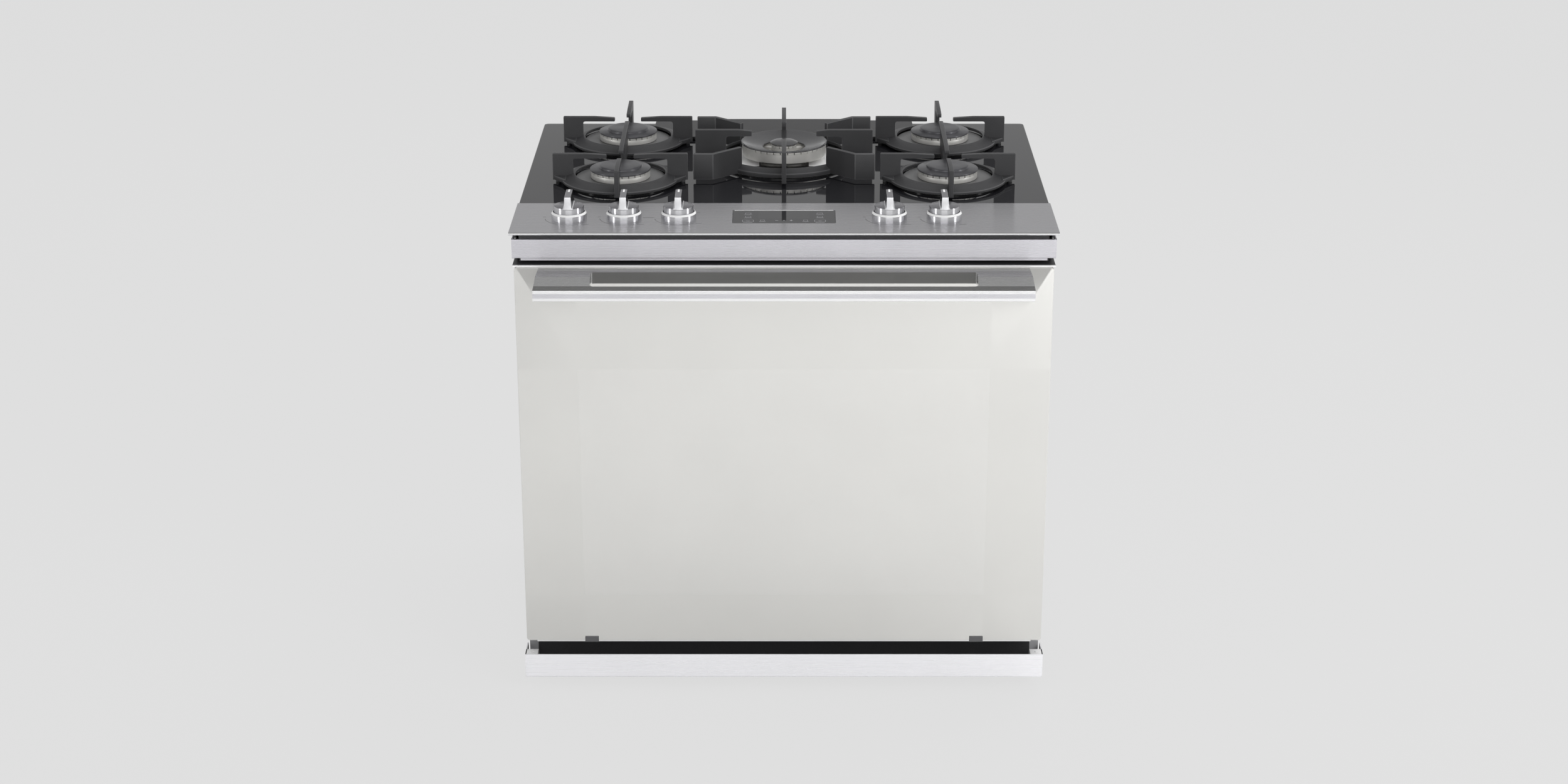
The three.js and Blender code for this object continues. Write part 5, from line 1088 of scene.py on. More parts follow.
@dataclass
class TouchPanel:
    """The touch panel between the knobs: a dark pane with a thin light rim and plain icons."""

    ICONS = (
        (SETTING, 0.15, 0.7), (SETTING, 0.15, 0.45), (MODE, 0.15, 0.13),
        (SETTING, 0.85, 0.7), (SETTING, 0.85, 0.45), (MODE, 0.85, 0.13),
        (SWITCH, 0.29, 0.16), (SWITCH, 0.71, 0.16), (MINUS, 0.43, 0.16), (PLUS, 0.57, 0.16),
    )

    pane: Pair = (144.4, 65.9)
    pane_y: float = 79.5
    corner: float = 3.0
    glass: float = 1.6
    rim: Triple = (2.0, 2.4, 1.0)
    rim_height: float = 0.35
    display: Triple = (0.25, 0.36, 5.0)
    ink: float = 0.04
    line: float = 0.45
    dot: Pair = (0.16, 4.4)

    def build(self) -> None:
        """Builds the pane, its rim, its display and its icons."""
        box = Place("touch_panel")
        wide, deep = self.pane
        middle = Place("control_panel").y0 + self.pane_y
        us, vs = (-wide / 2, wide / 2), (middle - deep / 2, middle + deep / 2)
        outline = rectangle(us, vs, self.corner)
        under, top = box.z1 - self.glass, box.z1
        pane = bevelled(prism("touch_pane", outline, Axis.Z, under, top), 0.3)
        under = block("touch_case", (box.x0, box.x1), (box.y0, box.y1), (box.z0, under - 0.1))
        whole = fuse("touch_pane", painted(pane, TOUCH_GLASS), painted(under, BLACK_STEEL))
        hand_over(whole, "cabinet", ["touch_panel"])
        aside, back, thick = self.rim
        rear = vs[1] - back
        rim = bevelled(block("touch_rim", (us[0] + aside, us[1] - aside), (rear, rear + thick),
                             (top - 0.2, top + self.rim_height)), 0.15)
        hand_over(painted(rim, WHITE_MARK), "cabinet")
        half, near, far = self.display
        glow = rectangle((-half * wide, half * wide), (vs[0] + near * deep, vs[1] - far), 1.0)
        shown = prism("touch_display", glow, Axis.Z, top - 0.1, top + 0.02)
        hand_over(painted(shown, DISPLAY_GLASS), "cabinet")
        self.icons(us[0], vs[0], top)

    def icons(self, left: float, front: float, level: float) -> None:
        """Draws the icons, each at its share of the pane's width and depth, and a dot in the middle.

        Args:
            left: the pane's left edge.
            front: its front edge.
            level: the height of its face.
        """
        wide, deep = self.pane
        strokes: list[Piece] = []
        for icon, across, up in self.ICONS:
            x, y = left + across * wide, front + up * deep
            for half, near, far in icon.frames:
                strokes += self.frame((x - half, x + half), (y + near, y + far), level)
            for half, near, far in icon.bars:
                strokes.append(self.stroke((x - half, x + half), (y + near, y + far), level))
        up, further = self.dot
        y = front + up * deep + further
        dot = round_bar("dot", 1.0, (level - 0.1, level + self.ink), 0, y, 20)
        icons = fuse("touch_icons", *(painted(stroke, LIGHT_INK) for stroke in (*strokes, dot)))
        hand_over(icons, "cabinet")

    def stroke(self, us: Pair, vs: Pair, level: float) -> Piece:
        """Returns one bar of ink on the pane."""
        return block("stroke", us, vs, (level - 0.1, level + self.ink))

    def frame(self, us: Pair, vs: Pair, level: float) -> list[Piece]:
        """Draws a small frame.

        Args:
            us: its left and right edge.
            vs: its front and rear edge.
            level: the height of the pane's face.

        Returns:
            Its four bars.
        """
        (u0, u1), (v0, v1), line = us, vs, self.line
        return [
            self.stroke((u0, u1), (v0, v0 + line), level), self.stroke((u0, u1), (v1 - line, v1), level),
            self.stroke((u0, u0 + line), (v0 + line, v1 - line), level),
            self.stroke((u1 - line, u1), (v0 + line, v1 - line), level),
        ]


@dataclass
class Legend:
    """The plain printed scale round a knob: an arc, and rows of short dashes in place of words."""

    number: int
    radius: float = 34.0
    line: float = 0.55
    ink: float = 0.04
    dash: Pair = (1.2, 1.5)
    first: float = 187.0
    last: float = 243.0
    steps: int = 20
    spot_turn: float = 132.0
    dots: tuple[int, float, float] = (30, 245.0, 2.3)

    ROWS = ((-36.5, 4.0, 2), (20.0, -31.0, 5))
    MIDDLE_ROWS = ((-50.0, 2.5, 8), (24.0, 26.0, 3), (25.0, -27.0, 4))

    def build(self) -> None:
        """Prints the scale. The middle knob has a ring of dots as well, and a larger mark."""
        knob, level = Place(f"knob_{self.number}"), Place("cooktop_glass").z1
        parts = [self.arc(knob, level)]
        middle = self.number == MIDDLE_KNOB
        for left, up, count in self.MIDDLE_ROWS if middle else self.ROWS:
            shape = block("dash", (0, self.dash[0]), (0, self.dash[1]), (-0.1, self.ink))
            parts.append(LINE.spread("dashes", shape, DARK_INK, Count=count,
                                     Start=(knob.x + left, knob.y + up, level), Step=(2.0, 0, 0)))
        if middle:
            count, first, step = self.dots
            dot = round_bar("dot", 0.45, (-0.1, self.ink), segments=12)
            parts.append(RING.spread("dots", dot, DARK_INK, Count=count, Centre=(knob.x, knob.y, level),
                                     Radius=self.radius, First=math.radians(first), Turn=math.radians(step)))
        spot = 1.6 if middle else 0.9
        turn = math.radians(self.spot_turn)
        x, y = knob.x + self.radius * math.cos(turn), knob.y + self.radius * math.sin(turn)
        parts.append(painted(round_bar("mark", spot, (level - 0.1, level + self.ink), x, y), DARK_INK))
        hand_over(fuse(f"knob_{self.number}_scale", *parts), "cabinet")

    def arc(self, knob: Place, level: float) -> Piece:
        """Draws the thin arc at the left of a knob.

        Args:
            knob: the knob's place.
            level: the height of the panel.

        Returns:
            The arc.
        """
        turns = (math.radians(self.first), math.radians(self.last))
        outline = ring_part((self.radius - self.line, self.radius), turns, self.steps, knob.x, knob.y)
        return painted(prism("arc", outline, Axis.Z, level - 0.1, level + self.ink), DARK_INK)


@dataclass
class FrontTrim:
    """The brushed strip under the control panel."""

    sheet: float = 1.2
    lip: float = 3.7
    lip_inset: float = 12.0
    depth: float = 3.0
    hem: float = 5.7

    def build(self) -> None:
        """Builds the folded strip, its lip and its ends."""
        box = Place("front_trim")
        low = box.z0 + self.lip
        sheet, rear = self.sheet, box.y0 + self.depth
        section = [
            (box.y0 + self.hem, box.z1), (box.y0, box.z1), (box.y0, low), (rear, low),
            (rear, low + sheet), (box.y0 + sheet, low + sheet), (box.y0 + sheet, box.z1 - sheet),
            (box.y0 + self.hem, box.z1 - sheet),
        ]
        face = prism("trim", rounded(section, [0, 1.0, 1.0, 0, 0, 0.3, 0.3, 0]), Axis.X, box.x0, box.x1)
        end = box.x1 - self.lip_inset
        lip = bevelled(block("lip", (-end, end), (rear - sheet, rear), (box.z0, low + sheet)), 0.3)
        ends = [
            block("end", (side * box.x1, side * (box.x1 - sheet)), (box.y0 + 0.6, box.y1), (low, box.z1))
            for side in (-1, 1)
        ]
        parts = [painted(part, TRIM_STEEL) for part in (face, lip, *ends)]
        hand_over(fuse("front_trim_strip", *parts), "cabinet", ["front_trim"])


@dataclass
class RearVent:
    """The low hood at the rear of the cooktop, with a raised grille that opens to the rear."""

    taper: float = 4.0
    rise: float = 2.1
    grille: float = 110.0
    slots: int = 8
    slot: Triple = (20.0, 14.0, 3.1)
    slot_inset: float = 12.0
    pitch: float = 24.0
    duct: float = 100.0
    duct_y: Pair = (2.0, 24.0)
    duct_drop: float = 30.0

    def build(self) -> None:
        """Builds the hood, the grille and its slots, and keeps the duct of the CAD below it."""
        box, top = Place("rear_vent"), Place("cooktop_glass").z1
        roof = box.z1 - self.rise
        base = top + 0.3
        plan = [(box.x0, box.y0), (box.x1, box.y0), (box.x1 - self.taper, box.y1),
                (box.x0 + self.taper, box.y1)]
        hood = bevelled(prism("vent_hood", plan, Axis.Z, base, roof), 0.9)
        ramp = [(box.y0 + 0.5, roof - 1), (box.y1, roof - 1), (box.y1, box.z1), (box.y0 + 0.5, roof + 0.05)]
        wedge = bevelled(prism("wedge", ramp, Axis.X, -self.grille, self.grille), 0.5)
        wide, deep, high = self.slot
        mouth = block("mouth", (-wide / 2, wide / 2), (0, deep), (0, high))
        start = (-(self.slots - 1) / 2 * self.pitch, box.y1 - self.slot_inset, base + 1)
        # The slot cutters carry the black painted-shade finish.
        mouths = LINE.spread("mouths", mouth, PAINTED_SHADE_BLACK, Count=self.slots, Start=start, Step=(self.pitch, 0, 0))
        cut(hood, mouths)
        near, far = self.duct_y
        duct = block("vent_duct", (-self.duct, self.duct), (box.y0 + near, box.y0 + far),
                     (Place("oven_liner").z1 - self.duct_drop, base))
        parts = [painted(hood, VENT_ENAMEL), painted(wedge, VENT_ENAMEL), painted(duct, BLACK_STEEL)]
        hand_over(fuse("rear_vent_hood", *parts), "cabinet", ["rear_vent"])


@dataclass
class Knob:
    """A round knob with a grip blade across it and a white mark at the blade's rear end."""

    number: int
    disc_top: float = 19.0
    blade: float = 9.6
    heel: float = 14.5
    fillet: float = 4.5
    fillet_start: float = 0.3
    edge: float = 0.8
    mark: Pair = (2.7, 13.0)
    mark_gap: float = 1.2

    def build(self) -> None:
        """Builds the disc, the blade and the mark."""
        box = Place(f"knob_{self.number}")
        radius = (box.x1 - box.x0) / 2
        disc_top = Place("cooktop_glass").z1 + self.disc_top
        disc = lathe("disc", [
            (0, box.z0), (radius - 0.4, box.z0), (radius, box.z0 + 0.4), (radius, disc_top - 1.0),
            (radius - 0.3, disc_top - 0.3), (radius - 1.0, disc_top), (0, disc_top),
        ], box.x, box.y)
        # The disc's top faces take a darker copy: painted shade.
        painted(disc, KNOB_DISC, KNOB_TOP_PAINTED_SHADE)
        for face in disc.data.polygons:
            face.material_index = int(face.normal.z > 0.9)
        knob = fuse(f"knob_{self.number}_grip", disc, self.grip(box, radius, disc_top))
        close(knob)
        hand_over(knob, f"knob_{self.number}", [f"knob_{self.number}"], 30)
        wide, long = self.mark
        rear = box.y + radius - self.mark_gap
        line = rectangle((box.x - wide / 2, box.x + wide / 2), (rear - long, rear), 0.5)
        mark = prism(f"knob_{self.number}_mark", line, Axis.Z, box.z1 - 0.2, box.z1 + 0.04)
        hand_over(painted(mark, WHITE_MARK), f"knob_{self.number}")

    def grip(self, box: Place, radius: float, foot: float) -> Piece:
        """Makes the blade, which runs out into the disc in a fillet on each side.

        Args:
            box: the knob's place.
            radius: the radius that the blade's ends follow.
            foot: the height of the disc.

        Returns:
            The blade, painted.
        """
        waist, heel, crest, start = self.blade / 2, self.heel / 2, box.z1, self.fillet_start
        curve = []
        for step in range(9):
            share = step / 8
            near = (heel + (waist - heel) * share, foot + start * share)
            far = (waist, foot + start + (self.fillet - start) * share)
            curve.append(tuple(a + (b - a) * share for a, b in zip(near, far)))
        half = [(heel, foot - 2), *curve, (waist - 0.3, crest - self.edge)]
        half += [(waist - 0.45, crest - 0.3), (waist - 0.3 - self.edge, crest)]
        section = [(box.x + u, v) for u, v in half + [(-u, v) for u, v in reversed(half)]]
        bar = prism("blade", section, Axis.Y, box.y - radius - 1, box.y + radius + 1)
        shell = lathe("shell", [
            (0, box.z0), (radius, box.z0), (radius, crest - 0.9), (radius - 0.25, crest - 0.3),
            (radius - 0.9, crest + 0.01), (0, crest + 0.01),
        ], box.x, box.y)
        keep = bar.modifiers.new("round", "BOOLEAN")
        keep.operation = "INTERSECT"
        keep.object = shell
        settle(bar)
        bpy.data.objects.remove(shell)
        # The blade's top and its sides take darker copies of its satin: painted shade.
        painted(bar, KNOB_SATIN, KNOB_TOP_PAINTED_SHADE, KNOB_SIDE_PAINTED_SHADE)
        for face in bar.data.polygons:
            side = abs(face.normal.x) > 0.8 and abs(face.center.y / MM - box.y) < radius - 3
            face.material_index = 1 if face.normal.z > 0.9 else 2 if side else 0
        return bar


# ---- Burners ----


@dataclass
class Burner:
    """What all the burners share: a pressed bowl with a stepped rim that closes the hole in the glass."""

    spot: str = "centre"
    shelf: float = 66.0
    collar: float = 27.0
    sheet: float = 1.5
    underside: float = 1.0

    def pan(self, box: Place, glass: float) -> Piece:
        """Turns the bowl.

        Args:
            box: its place.
            glass: the height of the cooktop.

        Returns:
            The bowl.
        """
        edge, rise, collar, sheet = box.x1 - box.x, box.z1, self.collar, self.sheet
        middle = (edge + self.shelf) / 2
        return lathe(f"drip_bowl_{self.spot}_pan", [
            (edge, glass + 0.3), (edge, glass + 1.2), (edge - 0.6, glass + 1.8), (edge - 3.2, glass + 2.1),
            (edge - 3.6, glass + 3.4), (edge - 4.2, glass + 3.9), (middle + 0.4, glass + 4.2),
            (middle, glass + 5.6), (middle - 0.6, glass + 6.1), (self.shelf + 1, rise - 0.4),
            (self.shelf - 1, rise), (collar, rise), (collar - sheet, rise - 1), (collar - sheet, box.z0),
            (collar, box.z0), (collar, rise - sheet), (self.shelf - self.underside, rise - sheet),
        ], box.x, box.y, 128)

    def two_tone(self, bowl: Piece, box: Place) -> None:
        """Gives the faces outside a bowl's shelf the second of its two finishes.

        Args:
            bowl: the bowl.
            box: its place.
        """
        for face in bowl.data.polygons:
            middle = face.center / MM
            face.material_index = int(math.hypot(middle.x - box.x, middle.y - box.y) > self.shelf - 0.8)


@dataclass
class CornerBurner(Burner):
    """A sealed corner burner: a satin bowl, a slotted alloy head and a satin cap."""

    ports: int = 28
    port: float = 1.3
    port_height: float = 3.2
    foot: float = 8.3
    wall: float = 4.2
    boss: float = 31.1
    flange: float = 2.6
    pin_gap: float = 5.5
    pin_turn: float = 1.9

    def build(self) -> None:
        """Builds the bowl, the head, the cap and the igniter."""
        head, cap = Place(f"burner_head_{self.spot}"), Place(f"burner_cap_{self.spot}")
        glass = Place("cooktop_glass").z1
        self.bowl(glass)
        self.head(head, glass)
        self.cap(cap, head)
        self.igniter(head)

    def bowl(self, glass: float) -> None:
        """Makes the bowl, satin inside its shelf and black outside.

        Args:
            glass: the height of the cooktop.
        """
        box = Place(f"drip_bowl_{self.spot}")
        bowl = painted(self.pan(box, glass), BOWL_SATIN, BOWL_BLACK_AND_PAINTED_REFLECTION)
        self.two_tone(bowl, box)
        hand_over(bowl, "cabinet", [f"drip_bowl_{self.spot}"])

    def head(self, box: Place, glass: float) -> None:
        """Turns the head and sets the teeth between its flame ports.

        Args:
            box: the head's place.
            glass: the height of the cooktop.
        """
        edge = box.x1 - box.x
        base, top, foot = box.z1 - self.port_height, box.z1, glass + self.foot
        inner = edge - self.wall
        casting = lathe("casting", [
            (0, box.z0), (16, box.z0), (16, foot), (edge - 0.5, foot), (edge, foot + 0.5),
            (edge, base - 0.6), (edge - 0.25, base), (inner, base), (inner, top), (inner - 2, top),
            (inner - 2, base), (0, base),
        ], box.x, box.y)
        step = 2 * math.pi / self.ports
        half = step / 2 - self.port / edge / 2
        tooth = prism("tooth", ring_part((inner - 0.2, edge), (-half, half), 5), Axis.Z, base, top)
        teeth = RING.spread("teeth", tooth, HEAD_ALLOY, Count=self.ports, Centre=(box.x, box.y, 0),
                            Radius=0.0, First=0.0, Turn=step)
        # A black ring behind the ports stands for the shade inside the head: painted shade.
        backing = lathe("backing", [(inner + 0.1, base), (inner + 0.1, top - 0.2), (inner - 0.5, top - 0.2),
                                    (inner - 0.5, base)], box.x, box.y)
        parts = [painted(casting, HEAD_ALLOY), teeth, painted(backing, PAINTED_SHADE_BLACK)]
        whole = fuse(f"burner_head_{self.spot}_casting", *parts)
        hand_over(whole, "cabinet", [f"burner_head_{self.spot}"])

    def igniter(self, head: Place) -> None:
        """Stands the spark pin behind the head, on the bowl.

        Args:
            head: the head's place.
        """
        foot, tip = Place(f"drip_bowl_{self.spot}").z1 - 0.5, head.z1 - 2
        reach = head.x1 - head.x + self.pin_gap
        x, y = head.x + reach * math.cos(self.pin_turn), head.y + reach * math.sin(self.pin_turn)
        shape = [(0, foot), (3, foot), (3, tip - 5), (2.4, tip - 4.2), (0, tip - 4.2)]
        sleeve = lathe("sleeve", shape, x, y, 24)
        pin = lathe("pin", [(0, foot), (0.8, foot), (0.8, tip - 0.6), (0, tip)], x, y, 12)
        parts = fuse(f"igniter_{self.spot}", painted(sleeve, PORCELAIN), painted(pin, RACK_PLATE))
        hand_over(parts, "cabinet")

    def cap(self, box: Place, head: Place) -> None:
        """Turns the cap, with its thin flange and raised boss.

        Args:
            box: the cap's place.
            head: the place of the head under it.
        """
        edge, seat, top = box.x1 - box.x, head.z1 + 0.3, box.z1
        rim = seat + self.flange
        profile = [
            (0, box.z0), (36.5, box.z0), (36.5, seat), (edge - 0.8, seat), (edge - 0.2, seat + 0.3),
            (edge, seat + 0.9), (edge, rim - 1.0), (edge - 0.3, rim - 0.35), (edge - 1.1, rim),
            (self.boss + 2.0, rim + 0.7), (self.boss + 0.8, rim + 1.0), (self.boss + 0.2, rim + 1.5),
            (self.boss - 0.1, top - 1.4), (self.boss - 0.6, top - 0.7), (self.boss - 1.6, top - 0.3),
            (self.boss - 4, top - 0.12), (14, top), (0, top),
        ]
        cap = lathe(f"burner_cap_{self.spot}_lid", profile, box.x, box.y, 128)
        hand_over(painted(cap, CAP_SATIN), "cabinet", [f"burner_cap_{self.spot}"], 28)


@dataclass
class CentreBurner(Burner):
    """The double burner in the middle: a crown with a dished ring cap round a small inner burner."""

    shelf: float = 84.0
    underside: float = 1.5
    ports: int = 38
    inner_ports: int = 16
    port: float = 1.2
    port_height: float = 3.1
    wall: float = 5.0
    bore: float = 35.0
    inner: float = 18.8
    skirt: float = 14.0
    top: float = 31.0
    step: float = 22.7
    inner_base: float = 25.5
    rib: Triple = (15.8, 4.5, 7.0)
    lip: float = 31.5
    dish: float = 25.5
    # Where the shelf's painted reflection changes: black within the first distance across the middle and
    # beyond the second from front to rear, white at the sides.
    bright: Pair = (37.0, 51.0)

    def build(self) -> None:
        """Builds the bowl, the crown, its ring cap and the inner burner."""
        head, ring, lid = (Place(n) for n in ("burner_head_centre", "burner_cap_centre", "burner_cap_inner"))
        glass = Place("cooktop_glass").z1
        self.bowl(glass)
        self.crown(head, glass)
        self.ring_cap(ring, glass)
        self.lid(lid)

    def bowl(self, glass: float) -> None:
        """Makes the bowl under the crown, white at both sides of its shelf and black elsewhere; on the shelf
        both are a painted reflection, of the backdrop and of the crown's dark underside.

        Args:
            glass: the height of the cooktop.
        """
        box = Place("drip_bowl_centre")
        bowl, (dark, deep) = self.pan(box, glass), self.bright
        for way in (-1, 1):
            split(bowl, (0, box.y + way * deep, 0), (0, 1, 0))
            split(bowl, (box.x + way * dark, 0, 0), (1, 0, 0))
        self.two_tone(painted(bowl, BOWL_PAINTED_REFLECTION, BOWL_BLACK_AND_PAINTED_REFLECTION), box)
        # Black over the middle of the shelf and white at its sides: painted reflection.
        for face in bowl.data.polygons:
            x, y = abs(face.center.x / MM - box.x), abs(face.center.y / MM - box.y)
            face.material_index |= int(x < dark or y > deep)
        hand_over(bowl, "cabinet", ["drip_bowl_centre"])

    def crown(self, box: Place, glass: float) -> None:
        """Turns the crown and the inner burner, and sets the teeth between their flame ports.

        Args:
            box: the place of the whole head.
            glass: the height of the cooktop.
        """
        edge = box.x1 - box.x
        top, foot, lip, crest = (glass + up for up in (self.top, self.skirt, self.step, self.inner_base))
        base, inner = top - self.port_height, edge - self.wall
        crown = lathe("crown", [
            (edge - 1.2, foot), (edge, foot + 1.2), (edge, base), (inner + 0.4, base), (inner + 0.4, top),
            (inner - 1.6, top), (inner - 1.6, foot + 4), (40, foot + 4), (40, lip), (self.bore, lip),
            (self.bore, foot),
        ], box.x, box.y, 128)
        pillar = lathe("pillar", [
            (0, box.z0), (self.inner, box.z0), (self.inner, crest), (self.inner - 3, crest),
            (self.inner - 3, glass + 30), (0, glass + 30),
        ], box.x, box.y)
        stand = lathe("stand", [
            (0, glass + 8.3), (31, glass + 8.3), (32, glass + 8.8), (31, glass + 10), (22, glass + 15.4),
            (20.8, glass + 16), (0, glass + 16),
        ], box.x, box.y)
        near, half, high = self.rib
        rib = block("rib", (near, self.bore + 2), (-half, half), (foot, foot + high))
        ribs = RING.spread("ribs", rib, HEAD_ALLOY, Count=3, Centre=(box.x, box.y, 0), Radius=0.0,
                           First=math.pi / 6, Turn=2 * math.pi / 3)
        parts = [painted(part, HEAD_ALLOY) for part in (crown, pillar, stand)]
        parts += [ribs]
        rows = ((edge, 4.6, base, self.ports), (self.inner, 3.0, crest, self.inner_ports))
        for radius, reach, low, count in rows:
            step = 2 * math.pi / count
            chord = radius * math.sin(step / 2) - self.port / 2
            tooth = bevelled(block("tooth", (radius - reach, radius - 0.15), (-chord, chord),
                                   (low - 0.3, low + self.port_height)), 0.25, 2)
            parts.append(RING.spread("teeth", tooth, HEAD_ALLOY, Count=count, Centre=(box.x, box.y, 0),
                                     Radius=0.0, First=step / 2, Turn=step))
        # A black ring behind the ports stands for the shade inside the crown: painted shade.
        backing = lathe("backing", [(inner + 0.5, base), (inner + 0.5, top - 0.2), (inner, top - 0.2),
                                    (inner, base)], box.x, box.y)
        parts.append(painted(backing, PAINTED_SHADE_BLACK))
        whole = fuse("burner_head_centre_casting", *parts)
        hand_over(whole, "cabinet", ["burner_head_centre"])

    def ring_cap(self, box: Place, glass: float) -> None:
        """Turns the dished ring over the crown.

        Args:
            box: the ring's place.
            glass: the height of the cooktop.
        """
        edge, top, seat = box.x1 - box.x, box.z1, glass + self.top + 0.3
        lip, dish = self.lip, glass + self.dish
        profile = [
            (lip, dish - 2.5), (lip, dish - 0.5), (lip + 0.5, dish), (lip + 2, dish + 0.25),
            (40, dish + 1.6), (48, dish + 3.2), (55, dish + 5.4), (60, dish + 7.7), (edge - 2.4, top - 0.15),
            (edge - 1.6, top), (edge - 0.5, top - 0.4), (edge, top - 1.2), (edge, seat + 0.5),
            (edge - 0.5, seat), (57, seat), (42, dish - 2.5),
        ]
        ring = lathe("burner_cap_centre_ring", profile, box.x, box.y, 128)
        hand_over(painted(ring, CROWN_SATIN), "cabinet", ["burner_cap_centre"], 28)

    def lid(self, box: Place) -> None:
        """Turns the small cap of the inner burner.

        Args:
            box: the cap's place.
        """
        edge, top = box.x1 - box.x, box.z1
        seat = top - 4.7
        profile = [
            (0, box.z0), (10, box.z0), (10, seat), (edge - 0.5, seat), (edge, seat + 0.5),
            (edge, seat + 1.5), (edge - 0.6, seat + 2.1), (edge - 6, top - 0.9), (edge - 8, top - 0.35),
            (edge - 11, top), (0, top),
        ]
        lid = lathe("burner_cap_inner_lid", profile, box.x, box.y)
        hand_over(painted(lid, CROWN_SATIN), "cabinet", ["burner_cap_inner"], 28)


# ---- Cast grates ----


CAST_EDGE = 0.9


def cast(piece: Piece) -> Piece:
    """Gives a piece of a grate its enamel, lighter on its small round edges for wear and as a painted
    highlight, and returns it.
    """
    return bevelled(painted(piece, IRON, IRON_EDGE_WEAR_AND_PAINTED_HIGHLIGHT), CAST_EDGE, 2, paint=1)


@dataclass(frozen=True)
class Arm:
    """A grate arm seen from its side: a plate on its foot, and a finger over the flame."""

    outer: float
    plate: float
    tip: float
    top: float
    finger: float
    drop: float = 2.0
    shoulder: float = 18.0
    fillet: float = 4.0

    def build(self, bar: float, low: float, angle: float, spot: Triple) -> Piece:
        """Makes the arm.

        Args:
            bar: its thickness.
            low: the height of its foot above the cooktop.
            angle: the direction that it points from the burner, in radians.
            spot: the burner's place on the cooktop.

        Returns:
            The new piece.
        """
        root, under = self.outer - self.plate, self.top - self.finger
        corners = [
            (self.outer, low), (self.outer, self.top), (root - self.shoulder, self.top),
            (self.tip, self.top - self.drop), (self.tip, under), (root, under), (root, low),
        ]
        outline = rounded(corners, [0.5, 1.5, 0, 1.5, 1.5, self.fillet, 0.5])
        return turned_round(cast(prism("arm", outline, Axis.Y, -bar / 2, bar / 2)), angle, spot)


@dataclass
class Grate:
    """What the grates share: bars of one thickness, and a sloped ring round each burner."""

    bar: float = 6.5
    low: float = 4.0
    ring: Pair = (66.0, 86.0)
    edge: float = 8.0
    crest: float = 14.6
    skin: float = 4.6
    inset: float = 3.0

    def sloped_ring(self, spot: Triple) -> Piece:
        """Turns a ring.

        Args:
            spot: the burner's place on the cooktop.

        Returns:
            The new piece.
        """
        (x, y, z), (inner, outer) = spot, self.ring
        return cast(lathe("ring", [
            (outer, z + self.low), (outer, z + self.edge), (inner, z + self.crest),
            (inner, z + self.crest - self.skin), (outer - self.inset, z + self.low),
        ], x, y, 128))


@dataclass
class SideGrate(Grate):
    """A side grate: a sloped ring over each of two burners, arms, ears and the bar that joins them."""

    side: str = "left"
    spacing: float = 214.0
    ear: Pair = (52.0, 11.0)
    ear_lap: float = 7.0
    ear_rise: float = 2.5
    pad_radius: float = 4.0
    pad_inset: float = 8.0
    arm: Arm = Arm(outer=99.0, plate=30.0, tip=20.0, top=43.5, finger=7.5)

    def build(self) -> None:
        """Builds the grate as one casting."""
        node = f"grate_{self.side}"
        box, top = Place(node), Place("cooktop_glass").z1
        half = self.spacing / 2
        parts: list[Piece] = []
        spots = [(box.x, box.y + end * half, top) for end in (-1, 1)]
        for spot in spots:
            parts.append(self.sloped_ring(spot))
            for angle in (0.0, math.pi):
                parts.append(self.arm.build(self.bar, self.low, angle, spot))
                parts.append(self.pointed_ear(angle, spot))
                foot = box.x + math.cos(angle) * (self.arm.outer - self.pad_inset)
                parts.append(self.pad(foot, spot[1], top))
        for angle, spot in zip((-math.pi / 2, math.pi / 2), spots):
            parts.append(self.arm.build(self.bar, self.low, angle, spot))
        parts.append(self.spine(box, top))
        hand_over(melded(f"{node}_casting", *parts), f"{self.side}_grate", [node])

    def pointed_ear(self, angle: float, spot: Triple) -> Piece:
        """Makes the shoulder by which a ring runs out to an arm.

        Args:
            angle: its direction from the burner.
            spot: the burner's place on the cooktop.

        Returns:
            The new piece.
        """
        wide, out = self.ear
        near, far = self.ring[1] - self.ear_lap, self.ring[1] + out
        plan = [(near, -wide / 2), (far, -self.bar / 2), (far, self.bar / 2), (near, wide / 2)]
        ear = cast(prism("ear", plan, Axis.Z, self.low + 0.02, self.edge + self.ear_rise))
        return turned_round(ear, angle, spot)

    def pad(self, x: float, y: float, z: float) -> Piece:
        """Returns the foot under an arm, just clear of the glass."""
        heights = (z + 0.3, z + self.low + 1)
        return painted(round_bar("pad", self.pad_radius, heights, x, y), IRON, IRON_EDGE_WEAR_AND_PAINTED_HIGHLIGHT)

    def spine(self, box: Place, z: float) -> Piece:
        """Makes the bar that joins the two rings and reaches over both burners.

        Args:
            box: the grate's place.
            z: the height of the cooktop.

        Returns:
            The new piece.
        """
        half, arm = self.spacing / 2, self.arm
        reach, root = half - arm.tip, half - (arm.outer - arm.plate)
        under, top = arm.top - arm.finger, arm.top
        right = [
            (root, self.low), (root, under), (reach, under), (reach, top - arm.drop),
            (root + arm.shoulder, top),
        ]
        line = right + [(-u, v) for u, v in reversed(right)]
        radii = [0.5, 4, 1.5, 1.5, 0, 0, 1.5, 1.5, 4, 0.5]
        outline = [(box.y + u, z + v) for u, v in rounded(line, radii)]
        return cast(prism("spine", outline, Axis.X, box.x - self.bar / 2, box.x + self.bar / 2))


